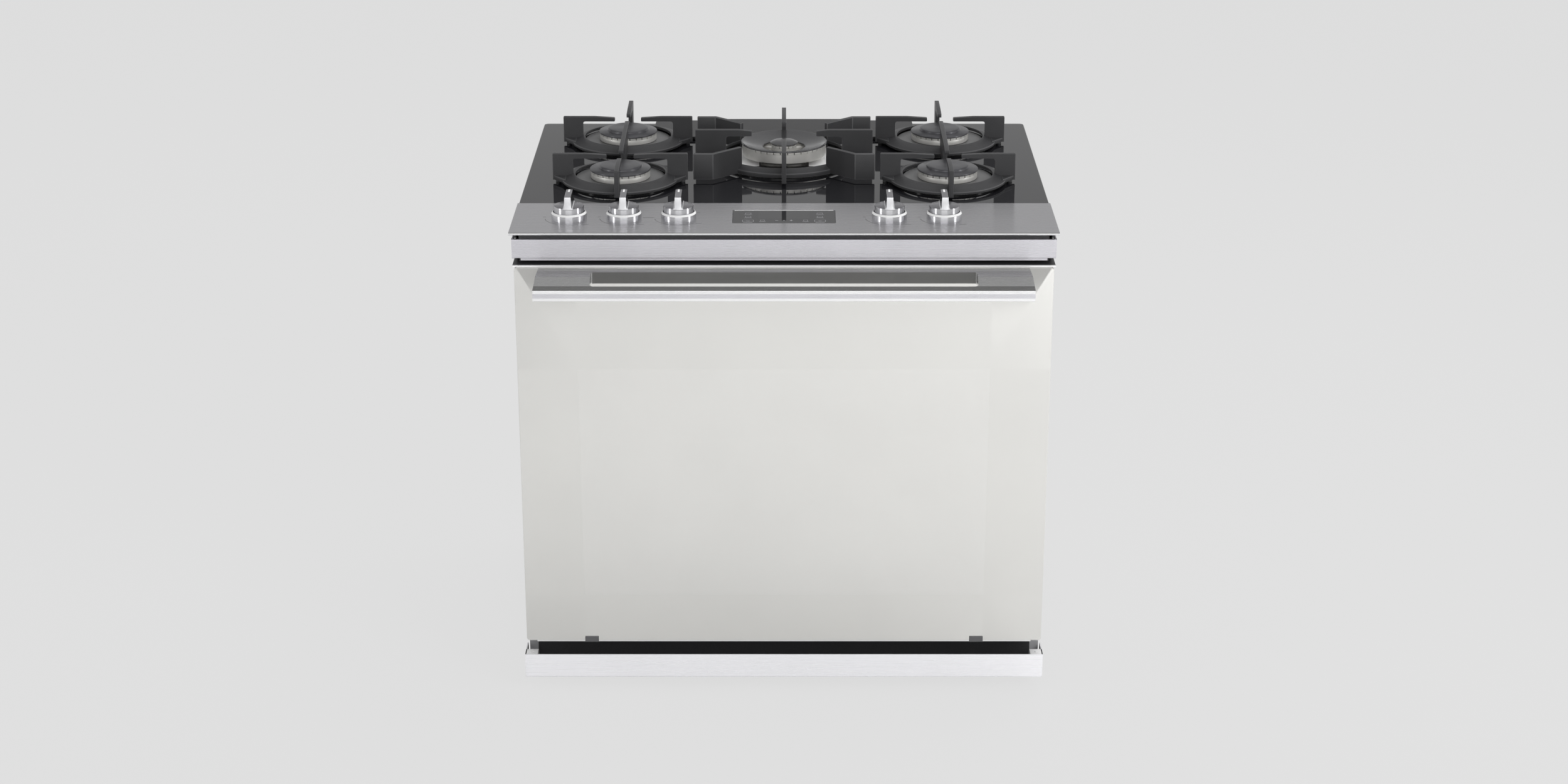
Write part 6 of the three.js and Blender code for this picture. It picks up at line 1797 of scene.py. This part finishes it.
@dataclass
class CentreGrate(Grate):
    """The centre grate: one wide ring, four tall arms in a cross and four slanted corner plates."""

    ring: Pair = (93.0, 103.0)
    edge: float = 10.3
    crest: float = 17.0
    kink: float = 104.0
    plate_top: float = 43.0
    plate_y: float = 107.0
    plate_foot: Pair = (0.68, 0.73)
    arm: Arm = Arm(outer=133.0, plate=46.0, tip=48.5, top=51.0, finger=10.0)

    def build(self) -> None:
        """Builds the grate as one casting."""
        box, top = Place("grate_centre"), Place("cooktop_glass").z1
        spot = (box.x, box.y, top)
        parts = [self.sloped_ring(spot)]
        for quarter in range(4):
            parts.append(self.arm.build(self.bar, self.low, quarter * math.pi / 2, spot))
        for side in (-1, 1):
            for end in (-1, 1):
                parts.append(self.corner_plate(side, end, box, top))
        hand_over(melded("grate_centre_casting", *parts), "centre_grate", ["grate_centre"])

    def corner_plate(self, side: int, end: int, box: Place, z: float) -> Piece:
        """Makes the plate at one corner, level with the side grate's arm and slanted in to the ring.

        Args:
            side: -1 for the left and 1 for the right.
            end: -1 for the front and 1 for the rear.
            box: the grate's place.
            z: the height of the cooktop.

        Returns:
            The new piece.
        """
        half, out, kink = self.bar / 2, box.x1 - box.x, self.kink
        near, far = self.plate_y - half, self.plate_y + half
        foot = Vector(self.plate_foot) * (self.ring[0] + 1)
        run = (Vector((kink, near)) - foot).normalized()
        off = Vector((-run.y, run.x)) * half
        slant = [tuple(foot + off), tuple(foot - off)]
        plan = [(out, near), (out, far), (kink, far), *slant, (kink + 1.5, near)]
        outline = [(box.x + side * u, box.y + end * v) for u, v in plan]
        return cast(prism("plate", outline, Axis.Z, z + self.low, z + self.plate_top))


# ---- Door and oven ----


@dataclass
class Door:
    """The drop-down door: a mirror pane with a dark window, a white top strip that is a painted highlight,
    and two clips.
    """

    corner: float = 5.0
    edge: float = 0.9
    lap: float = 9.0
    strip: Pair = (3.0, 1.8)
    strip_inset: float = 0.4
    hem: float = 360.0
    hem_y: Pair = (0.6, 2.6)
    clip_x: float = 280.0
    clip: Pair = (19.7, 8.2)
    clip_front: Pair = (1.6, 1.4)
    clip_foot: Pair = (4.4, 1.2)

    def build(self) -> None:
        """Builds the pane, the strip and the clips, and dresses the pan behind them."""
        self.pane()
        box, pan = Place("door_glass"), Place("door_frame")
        deep, high = self.strip
        front, (near, far) = box.y0 + self.strip_inset, self.hem_y
        # A thin white strip along the door's top edge: a painted highlight.
        strip = bevelled(block("door_top_strip", (pan.x0, pan.x1), (front, front + deep),
                               (pan.z1 - high - 0.1, pan.z1 + 0.05)), 0.3)
        hand_over(painted(strip, WHITE_SHEET_AND_PAINTED_HIGHLIGHT), "door")
        hem = bevelled(block("door_bottom_strip", (-self.hem, self.hem), (box.y0 + near, box.y0 + far),
                             (pan.z0 - 0.5, box.z0 + 0.3)), 0.3)
        hand_over(painted(hem, BRIGHT_STRIP), "door")
        for name, side in (("left", -1), ("right", 1)):
            self.clip_cover(name, side, box, pan)

    def pane(self) -> None:
        """Builds the mirror pane, and lets its window show the oven faintly."""
        box, window = Place("door_glass"), Place("inner_window")
        outline = rectangle((box.x0, box.x1), (box.z0, box.z1), self.corner, 8)
        pane = bevelled(prism("door_pane", outline, Axis.Y, box.y0, box.y1), self.edge)
        left, right = window.x0 + self.lap, window.x1 - self.lap
        low, high = window.z0 + self.lap, window.z1 - self.lap
        for x in (left, right):
            split(pane, (x, 0, 0), (1, 0, 0))
        for z in (low, high):
            split(pane, (0, 0, z), (0, 0, 1))
        painted(pane, DOOR_GLASS, WINDOW_GLASS)
        for face in pane.data.polygons:
            middle = face.center / MM
            face.material_index = int(left < middle.x < right and low < middle.z < high)
        hand_over(pane, "door", ["door_glass"])

    def clip_cover(self, name: str, side: int, box: Place, pan: Place) -> None:
        """Builds the bright skin of one clip under the glass.

        Args:
            name: left or right.
            side: -1 or 1.
            box: the glass's place.
            pan: the place of the pan that carries the clips.
        """
        wide, high = self.clip
        x, low = side * self.clip_x, pan.z0 - 0.1
        (out, thick), (reach, sole) = self.clip_front, self.clip_foot
        us, front = (x - wide / 2, x + wide / 2), box.y0 - out
        corners = [(us[0], low), (us[1], low), (us[1], low + high), (us[0], low + high)]
        face = rounded(corners, [0.5, 0.5, 1, 1])
        cover = prism(f"door_clip_{name}", face, Axis.Y, front, front + thick)
        foot = block("foot", us, (front + 0.1, box.y1 + reach), (low, low + sole))
        cover = melded(f"door_clip_{name}", cover, foot)
        hand_over(painted(bevelled(cover, 0.2), CLIP_STEEL), "door")


@dataclass
class Handle:
    """The faceted handle beam, opened behind its front bar for the fingers, with painted light and shade on
    its faces.
    """

    front_drop: float = 14.2
    front_height: float = 15.7
    facets: tuple[Pair, ...] = ((0.52, 0.17), (0.83, 0.75))
    nose: Pair = (0.3, 0.7)
    underside: Pair = (0.72, 0.28)
    slope: Pair = (0.17, 0.45)
    band: float = 0.21
    root: float = 17.5
    edge: float = 3.0
    taper: float = 4.0
    grip_inset: float = 78.0
    rail: float = 15.0
    bar: float = 9.5
    bulge: float = 0.5

    def build(self) -> None:
        """Builds the handle."""
        box, door = Place("handle"), Place("door_glass")
        zero, reach = door.y0, door.y0 - box.y0
        top = box.z1
        nose = top - self.front_drop
        low = nose - self.front_height
        root = top - self.root
        corners = [
            (-0.3, top), *((-out * reach, top - down * self.front_drop) for out, down in self.facets),
            (-reach + self.bulge, nose), *((-reach, nose - down * self.front_height) for down in self.nose),
            (-reach + self.bulge, low), (-self.underside[0] * reach, low + self.edge / 2),
            (-self.underside[1] * reach, root), (-0.3, root),
        ]
        rounds = [0.6, 1.5, 1.5, 0.9, 4, 4, 0.9, 3, 3, 0.4]
        section = [(zero + u, v) for u, v in rounded(corners, rounds, 5)]
        beam = prism("handle_beam", section, Axis.X, box.x0, box.x1)
        half = box.x1
        for side in (-1, 1):
            wedge = [(side * half, box.y0 - 1), (side * (half + 9), box.y0 - 1),
                     (side * (half + 9), door.y0 + 1), (side * (half - self.taper), door.y0 + 1)]
            cut(beam, prism("taper", wedge, Axis.Z, low - 2, top + 2))
        grip = half - self.grip_inset
        hole = rectangle((-grip, grip), (box.y0 + self.bar, door.y0 - self.rail), 5.0)
        cut(beam, prism("opening", hole, Axis.Z, low - 2, top + 2))
        # Each face takes a lit or shaded copy of the steel: the band across the front a painted reflection,
        # the front, back and underside a painted highlight, the inside of the opening and the top facets a
        # painted shade.
        painted(bevelled(beam, 0.5, 2, 40), HANDLE_STEEL, HANDLE_FACE_PAINTED_HIGHLIGHT, HANDLE_WELL_PAINTED_SHADE, HANDLE_TOP_PAINTED_SHADE, HANDLE_BAND_PAINTED_REFLECTION)
        for face in beam.data.polygons:
            place, facing = face.center / MM, face.normal
            front = facing.y < -0.9 and place.y < box.y0 + 1.5
            wall = facing.y < -0.6 and place.y > door.y0 - self.rail - 1
            back = facing.y > 0.6 and place.y < box.y0 + self.bar + 2
            slope = self.slope[0] < (place.y - box.y0) / reach < self.slope[1]
            flat = facing.z > 0.7 and not slope
            band = front and abs(place.z - (nose + low) / 2) < self.band * self.front_height
            slots = ((band, 4), (front or back or facing.z < -0.5, 1), (wall, 2), (flat, 3), (True, 0))
            face.material_index = next(slot for found, slot in slots if found)
        hand_over(beam, "door", ["handle"], 20)


@dataclass
class Rack:
    """A plated wire rack: a rod frame with a brace and thin wires welded on top."""

    level: str
    rod: float = 3.0
    wire: float = 1.8
    wires: int = 10
    pitch: float = 53.0
    weld: float = 0.8
    brace: float = 1.5
    brace_y: float = 180.0
    corner: float = 9.0

    def build(self) -> None:
        """Builds the frame, the brace and the wires."""
        box = Place(f"rack_{self.level}")
        x, front, rear = box.x1 - self.rod, box.y0 + self.rod, box.y1 - self.rod
        z = box.z0 + self.rod
        loop = [(u, v, z) for u, v in rectangle((-x, x), (front, rear), self.corner)]
        rods = tube("loop", loop, self.rod, True)
        y, under = front + self.brace_y, z - self.brace
        across = tube("brace", [(-x, y, under), (x, y, under)], self.brace)
        shape = tube("wire", [(0, 0, 0), (0, rear - front, 0)], self.wire)
        start = (-(self.wires - 1) / 2 * self.pitch, front, z + self.rod - self.weld)
        wires = LINE.spread("wires", shape, RACK_PLATE, Count=self.wires, Start=start,
                            Step=(self.pitch, 0, 0))
        rack = fuse(f"rack_{self.level}_wires", painted(rods, RACK_PLATE), painted(across, RACK_PLATE), wires)
        hand_over(rack, f"{self.level}_rack", [f"rack_{self.level}"])


# ---- Cabinet ----


@dataclass
class KickStrip:
    """The folded steel strip below the door, with a fixing tab at each end."""

    sheet: float = 1.5
    tab: float = 18.0
    holes: tuple[Pair, ...] = ((11.0, 1.5), (6.0, 0.7))

    def build(self) -> None:
        """Builds the strip, its ends and its tabs."""
        box = Place("kick_strip")
        sheet = self.sheet
        section = [
            (box.y0, box.z1), (box.y0, box.z0), (box.y1, box.z0), (box.y1, box.z0 + sheet),
            (box.y0 + sheet, box.z0 + sheet), (box.y0 + sheet, box.z1),
        ]
        face = prism("kick", rounded(section, [0.5, 1.6, 0.3, 0.3, 0.4, 0.5]), Axis.X, box.x0, box.x1)
        parts = [painted(bevelled(face, 0.25, 2), KICK_STEEL)]
        for side in (-1, 1):
            edge = side * box.x1
            end = block("end", (edge, edge - side * sheet), (box.y0 + 0.8, box.y1), (box.z0 + 0.4, box.z1))
            tab = block("tab", (edge, edge - side * self.tab), (box.y0 + 0.8, box.y0 + self.tab),
                        (box.z1 - sheet, box.z1))
            for away, radius in self.holes:
                x, y = edge - side * away, box.y0 + self.tab / 2
                cut(tab, round_bar("hole", radius, (box.z1 - 3, box.z1 + 1), x, y, 20))
            parts += [painted(end, KICK_STEEL), painted(tab, WHITE_SHEET_AND_PAINTED_HIGHLIGHT)]
        hand_over(fuse("kick_strip_sheet", *parts), "cabinet", ["kick_strip"])


@dataclass
class Fasteners:
    """Pan-head screws along the edges of the side and back panels, and skins on the service tabs."""

    radius: float = 3.6
    height: float = 1.5
    slot: Pair = (4.2, 0.9)
    inset: float = 7.0
    margin: float = 30.0
    side_count: int = 4
    back_count: int = 5
    tab: Triple = (16.4, 12.4, 0.35)
    tab_x: float = 236.0
    tab_hole: float = 1.7

    def build(self) -> None:
        """Sets the rows of screws, and dresses the service tabs."""
        back, left = Place("back_panel"), Place("side_panel_left")
        rise = (back.z1 - back.z0 - 2 * self.margin) / (self.side_count - 1)
        span = (back.x1 - back.x0 - 2 * self.inset) / (self.back_count - 1)
        rows = []
        for side in (-1, 1):
            start = (side * (back.x1 - self.inset), back.y1, back.z0 + self.margin)
            rows.append((Axis.Y, 1, start, (0, 0, rise), self.side_count))
            start = (side * abs(left.x0), left.y1 - self.inset, left.z0 + self.margin)
            rows.append((Axis.X, side, start, (0, 0, rise), self.side_count))
        for height in (back.z0 + self.inset, back.z1 - self.inset):
            start = (back.x0 + self.inset + span / 2, back.y1, height)
            rows.append((Axis.Y, 1, start, (span, 0, 0), self.back_count - 1))
        parts = [
            LINE.spread("screws", self.screw(axis, way), BRIGHT_RING, Count=count, Start=start, Step=step)
            for axis, way, start, step, count in rows
        ]
        hand_over(fuse("cabinet_screws", *parts), "cabinet")
        for name, side in (("left", -1), ("right", 1)):
            self.service_tab(name, side * self.tab_x)

    def service_tab(self, name: str, x: float) -> None:
        """Makes the skin of one tab.

        Args:
            name: left or right.
            x: its place across the range.
        """
        wide, high, thick = self.tab
        top, front = Place("door_frame").z0 - 0.2, Place("front_frame").y0
        plate = block(f"service_tab_{name}", (x - wide / 2, x + wide / 2), (front - thick, front - 0.05),
                      (top - high, top))
        ring = circle(self.tab_hole, 24, x, top - high / 2)
        cut(plate, prism("hole", ring, Axis.Y, front - 2 * thick, front + 2))
        hand_over(painted(bevelled(plate, 0.15), TRAY_STEEL), "cabinet")

    def screw(self, axis: Axis, way: int) -> Piece:
        """Makes one screw head about the origin.

        Args:
            axis: the direction that it points in.
            way: 1 along the axis and -1 against it.

        Returns:
            The new piece.
        """
        top = way * self.height
        head = bevelled(prism("screw", circle(self.radius, 24), axis, -0.3 * way, top), 0.6, 2)
        long, wide = self.slot[0] / 2, self.slot[1] / 2
        for us, vs in (((-long, long), (-wide, wide)), ((-wide, wide), (-long, long))):
            cut(head, prism("slot", rectangle(us, vs), axis, top - 0.7 * way, top + way))
        return head


@dataclass
class Feet:
    """The four levelling feet."""

    radius: float = 19.0
    stem: float = 6.0

    def build(self) -> None:
        """Turns each foot."""
        for name in ("front_left", "front_right", "rear_left", "rear_right"):
            box = Place(f"foot_{name}")
            radius, stem, low = self.radius, self.stem, box.z0
            profile = [
                (0, low), (radius - 1, low), (radius, low + 1), (radius, low + 6), (radius - 2, low + 7.6),
                (radius - 7, low + 9), (stem, low + 9), (stem, box.z1), (0, box.z1),
            ]
            foot = lathe(f"foot_{name}_pad", profile, box.x, box.y, 48)
            hand_over(painted(foot, FOOT_PLASTIC), "cabinet", [f"foot_{name}"])


@dataclass
class Chassis:
    """The CAD nodes that show as they are, each with its finish."""

    def build(self) -> None:
        """Paints each node, without touching its mesh."""
        finishes = {
            "base_pan": ZINC, "side_panel_left": SHEET_STEEL, "side_panel_right": SHEET_STEEL,
            "back_panel": ZINC, "front_frame": BLACK_STEEL, "oven_liner": LINER_ENAMEL,
            "oven_floor": LINER_ENAMEL, "bake_burner": ALUMINISED, "oven_lamp": LAMP_GLASS,
            "insulation": WOOL, "door_gasket": GASKET, "burner_box": TRAY_STEEL, "gas_manifold": BRASS,
            "hinge_arm_left": ZINC, "hinge_arm_right": ZINC, "door_frame": BLACK_STEEL,
            "inner_window": CLEAR_GLASS, **{f"valve_stem_{number}": BRASS for number in KNOBS},
        }
        for node, finish in finishes.items():
            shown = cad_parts[node]
            if not shown.material_slots:
                shown.data.materials.append(finish.material())
            for entry in shown.material_slots:
                entry.material = finish.material()
            log.info("%s has the finish %s", node, finish.name)


# ---- Studio ----


def grey(value: float) -> tuple[float, ...]:
    """Returns an even grey as an opaque colour."""
    return (value, value, value, 1)


@dataclass(frozen=True)
class Lamp:
    """A soft lamp that hangs at a place and faces a target, in metres."""

    name: str
    place: Triple
    target: Triple
    size: Pair
    power: float
    mirrored: bool = False

    def build(self) -> None:
        """Hangs the lamp, where metal and glass show it only if it is mirrored."""
        light = bpy.data.lights.new(self.name, "AREA")
        light.shape = "RECTANGLE"
        light.size, light.size_y = self.size
        light.energy = self.power
        lamp = bpy.data.objects.new(self.name, light)
        lamp.location = self.place
        lamp.visible_glossy = self.mirrored
        lamp.visible_camera = False
        facing = Vector(self.target) - Vector(self.place)
        lamp.rotation_euler = facing.to_track_quat("-Z", "Y").to_euler()
        bpy.context.scene.collection.objects.link(lamp)


@dataclass
class Studio:
    """A pale floor and backdrop, soft lamps and the camera."""

    DIRECT = ("Is Camera Ray", "Is Transmission Ray")
    LAMPS = (
        Lamp("overhead", (0.9, 1.3, 2.8), (0, 0, 0.7), (2.4, 1.8), 34.0),
        Lamp("front_right", (2.4, -3.1, 2.6), (1.3, -2.6, 0.0), (1.6, 1.6), 78.0),
        Lamp("strip_left", (-3.0, -1.4, 1.0), (0, 0, 0.8), (0.4, 2.0), 12.0, mirrored=True),
        Lamp("strip_right", (3.0, -1.0, 1.0), (0, 0, 0.8), (0.4, 2.0), 12.0, mirrored=True),
        Lamp("front_high", (0.0, -6.0, 2.7), (0, 0, 0.7), (5.0, 1.7), 45.0, mirrored=True),
        Lamp("oven_front", (0.0, -0.2, 0.57), (0, 0.1, 0.3), (0.5, 0.03), 3.0),
    )

    backdrop: float = 0.745
    floor_tone: float = 0.74
    floor_glow: float = 0.93
    fill: float = 0.6
    sky: tuple[Pair, ...] = ((0.28, 0.38), (0.6, 0.32), (1.0, 0.3))
    horizon: float = 0.1
    floor_size: float = 60.0
    eye: Triple = (0.0, -3.86535, 1.8017)
    tilt: float = 69.7
    lens: float = 62.44
    sensor: float = 36.0
    sight: float = 200.0

    def build(self) -> None:
        """Builds the floor, the world, the lamps and the camera."""
        self.floor()
        self.world()
        for lamp in self.LAMPS:
            lamp.build()
        self.camera()
        bpy.context.scene.view_settings.view_transform = "Standard"
        log.info("studio ready")

    def camera(self) -> None:
        """Sets up the camera."""
        camera = bpy.data.cameras.new("camera")
        camera.lens, camera.sensor_width = self.lens, self.sensor
        camera.clip_end = self.sight
        eye = bpy.data.objects.new("camera", camera)
        eye.location = self.eye
        eye.rotation_euler = (math.radians(self.tilt), 0, 0)
        bpy.context.scene.collection.objects.link(eye)
        bpy.context.scene.camera = eye

    def rays(self, graph: Graph, *kinds: str) -> Socket:
        """Tells kinds of rays from the others.

        Args:
            graph: the material's or the world's nodes.
            *kinds: the kinds, by the names of the Light Path node's outputs.

        Returns:
            The socket of a value that is 1 for these rays and 0 for the others.
        """
        path = graph.node("ShaderNodeLightPath").outputs
        total = path[kinds[0]]
        for kind in kinds[1:]:
            total = graph.maths("MAXIMUM", total, path[kind])
        return total

    def floor(self) -> None:
        """Lays a floor that is evenly pale to the eye and still takes the range's shadow."""
        half = self.floor_size / 2 / MM
        plane = body("floor", [(-half, -half, 0), (half, -half, 0), (half, half, 0), (-half, half, 0)],
                     [(0, 1, 2, 3)])
        material = bpy.data.materials.new("floor")
        material.use_nodes = True
        graph = Graph(material.node_tree)
        graph.tree.nodes.clear()
        matt = graph.node("ShaderNodeBsdfDiffuse", {"Color": grey(self.floor_tone)}).outputs[0]
        glow = graph.node("ShaderNodeEmission", {"Color": grey(self.backdrop)}).outputs[0]
        share = graph.maths("MULTIPLY", self.rays(graph, *self.DIRECT), self.floor_glow)
        mixed = graph.node("ShaderNodeMixShader", {0: share, 1: matt, 2: glow}).outputs[0]
        graph.node("ShaderNodeOutputMaterial", {0: mixed})
        plane.data.materials.append(material)

    def world(self) -> None:
        """Makes the backdrop, darker towards the ceiling in metal and glass, and an even light."""
        world = bpy.data.worlds.new("world")
        bpy.context.scene.world = world
        world.use_nodes = True
        graph = Graph(world.node_tree)
        graph.tree.nodes.clear()
        place = graph.node("ShaderNodeTexCoord").outputs["Generated"]
        height = graph.node("ShaderNodeSeparateXYZ", {0: place}).outputs["Z"]
        ramp = graph.node("ShaderNodeValToRGB", {0: height})
        stops = ((0.0, self.backdrop), (self.horizon, self.backdrop), *self.sky)
        while len(ramp.color_ramp.elements) < len(stops):
            ramp.color_ramp.elements.new(0.5)
        for element, (share, value) in zip(ramp.color_ramp.elements, stops):
            element.position, element.color = share, grey(value)
        colours = (grey(self.backdrop), ramp.outputs[0], grey(self.fill))
        seen, mirrored, light = (
            graph.node("ShaderNodeBackground", {0: colour}).outputs[0] for colour in colours
        )
        for special, kinds in ((mirrored, ("Is Glossy Ray",)), (seen, self.DIRECT)):
            chosen = {0: self.rays(graph, *kinds), 1: light, 2: special}
            light = graph.node("ShaderNodeMixShader", chosen).outputs[0]
        graph.node("ShaderNodeOutputWorld", {0: light})


LINE = Pattern(Layout.LINE)
RING = Pattern(Layout.RING)


def main() -> None:
    """Builds the range from the cooktop down, then the studio round it."""
    logging.basicConfig(level=logging.INFO, format="%(name)s: %(message)s")
    assemblies = [
        GlassTop(), ControlPanel(), TouchPanel(), FrontTrim(), RearVent(),
        *(Knob(number) for number in KNOBS), *(Legend(number) for number in KNOBS),
        *(CornerBurner(spot) for spot in BURNERS), CentreBurner(),
        SideGrate(side="left"), CentreGrate(), SideGrate(side="right"),
        Door(), Handle(), Rack("upper"), Rack("lower"), KickStrip(), Fasteners(), Feet(), Chassis(), Studio(),
    ]
    for assembly in assemblies:
        assembly.build()
        log.info("%s done", type(assembly).__name__)


if __name__ == "__main__":
    main()
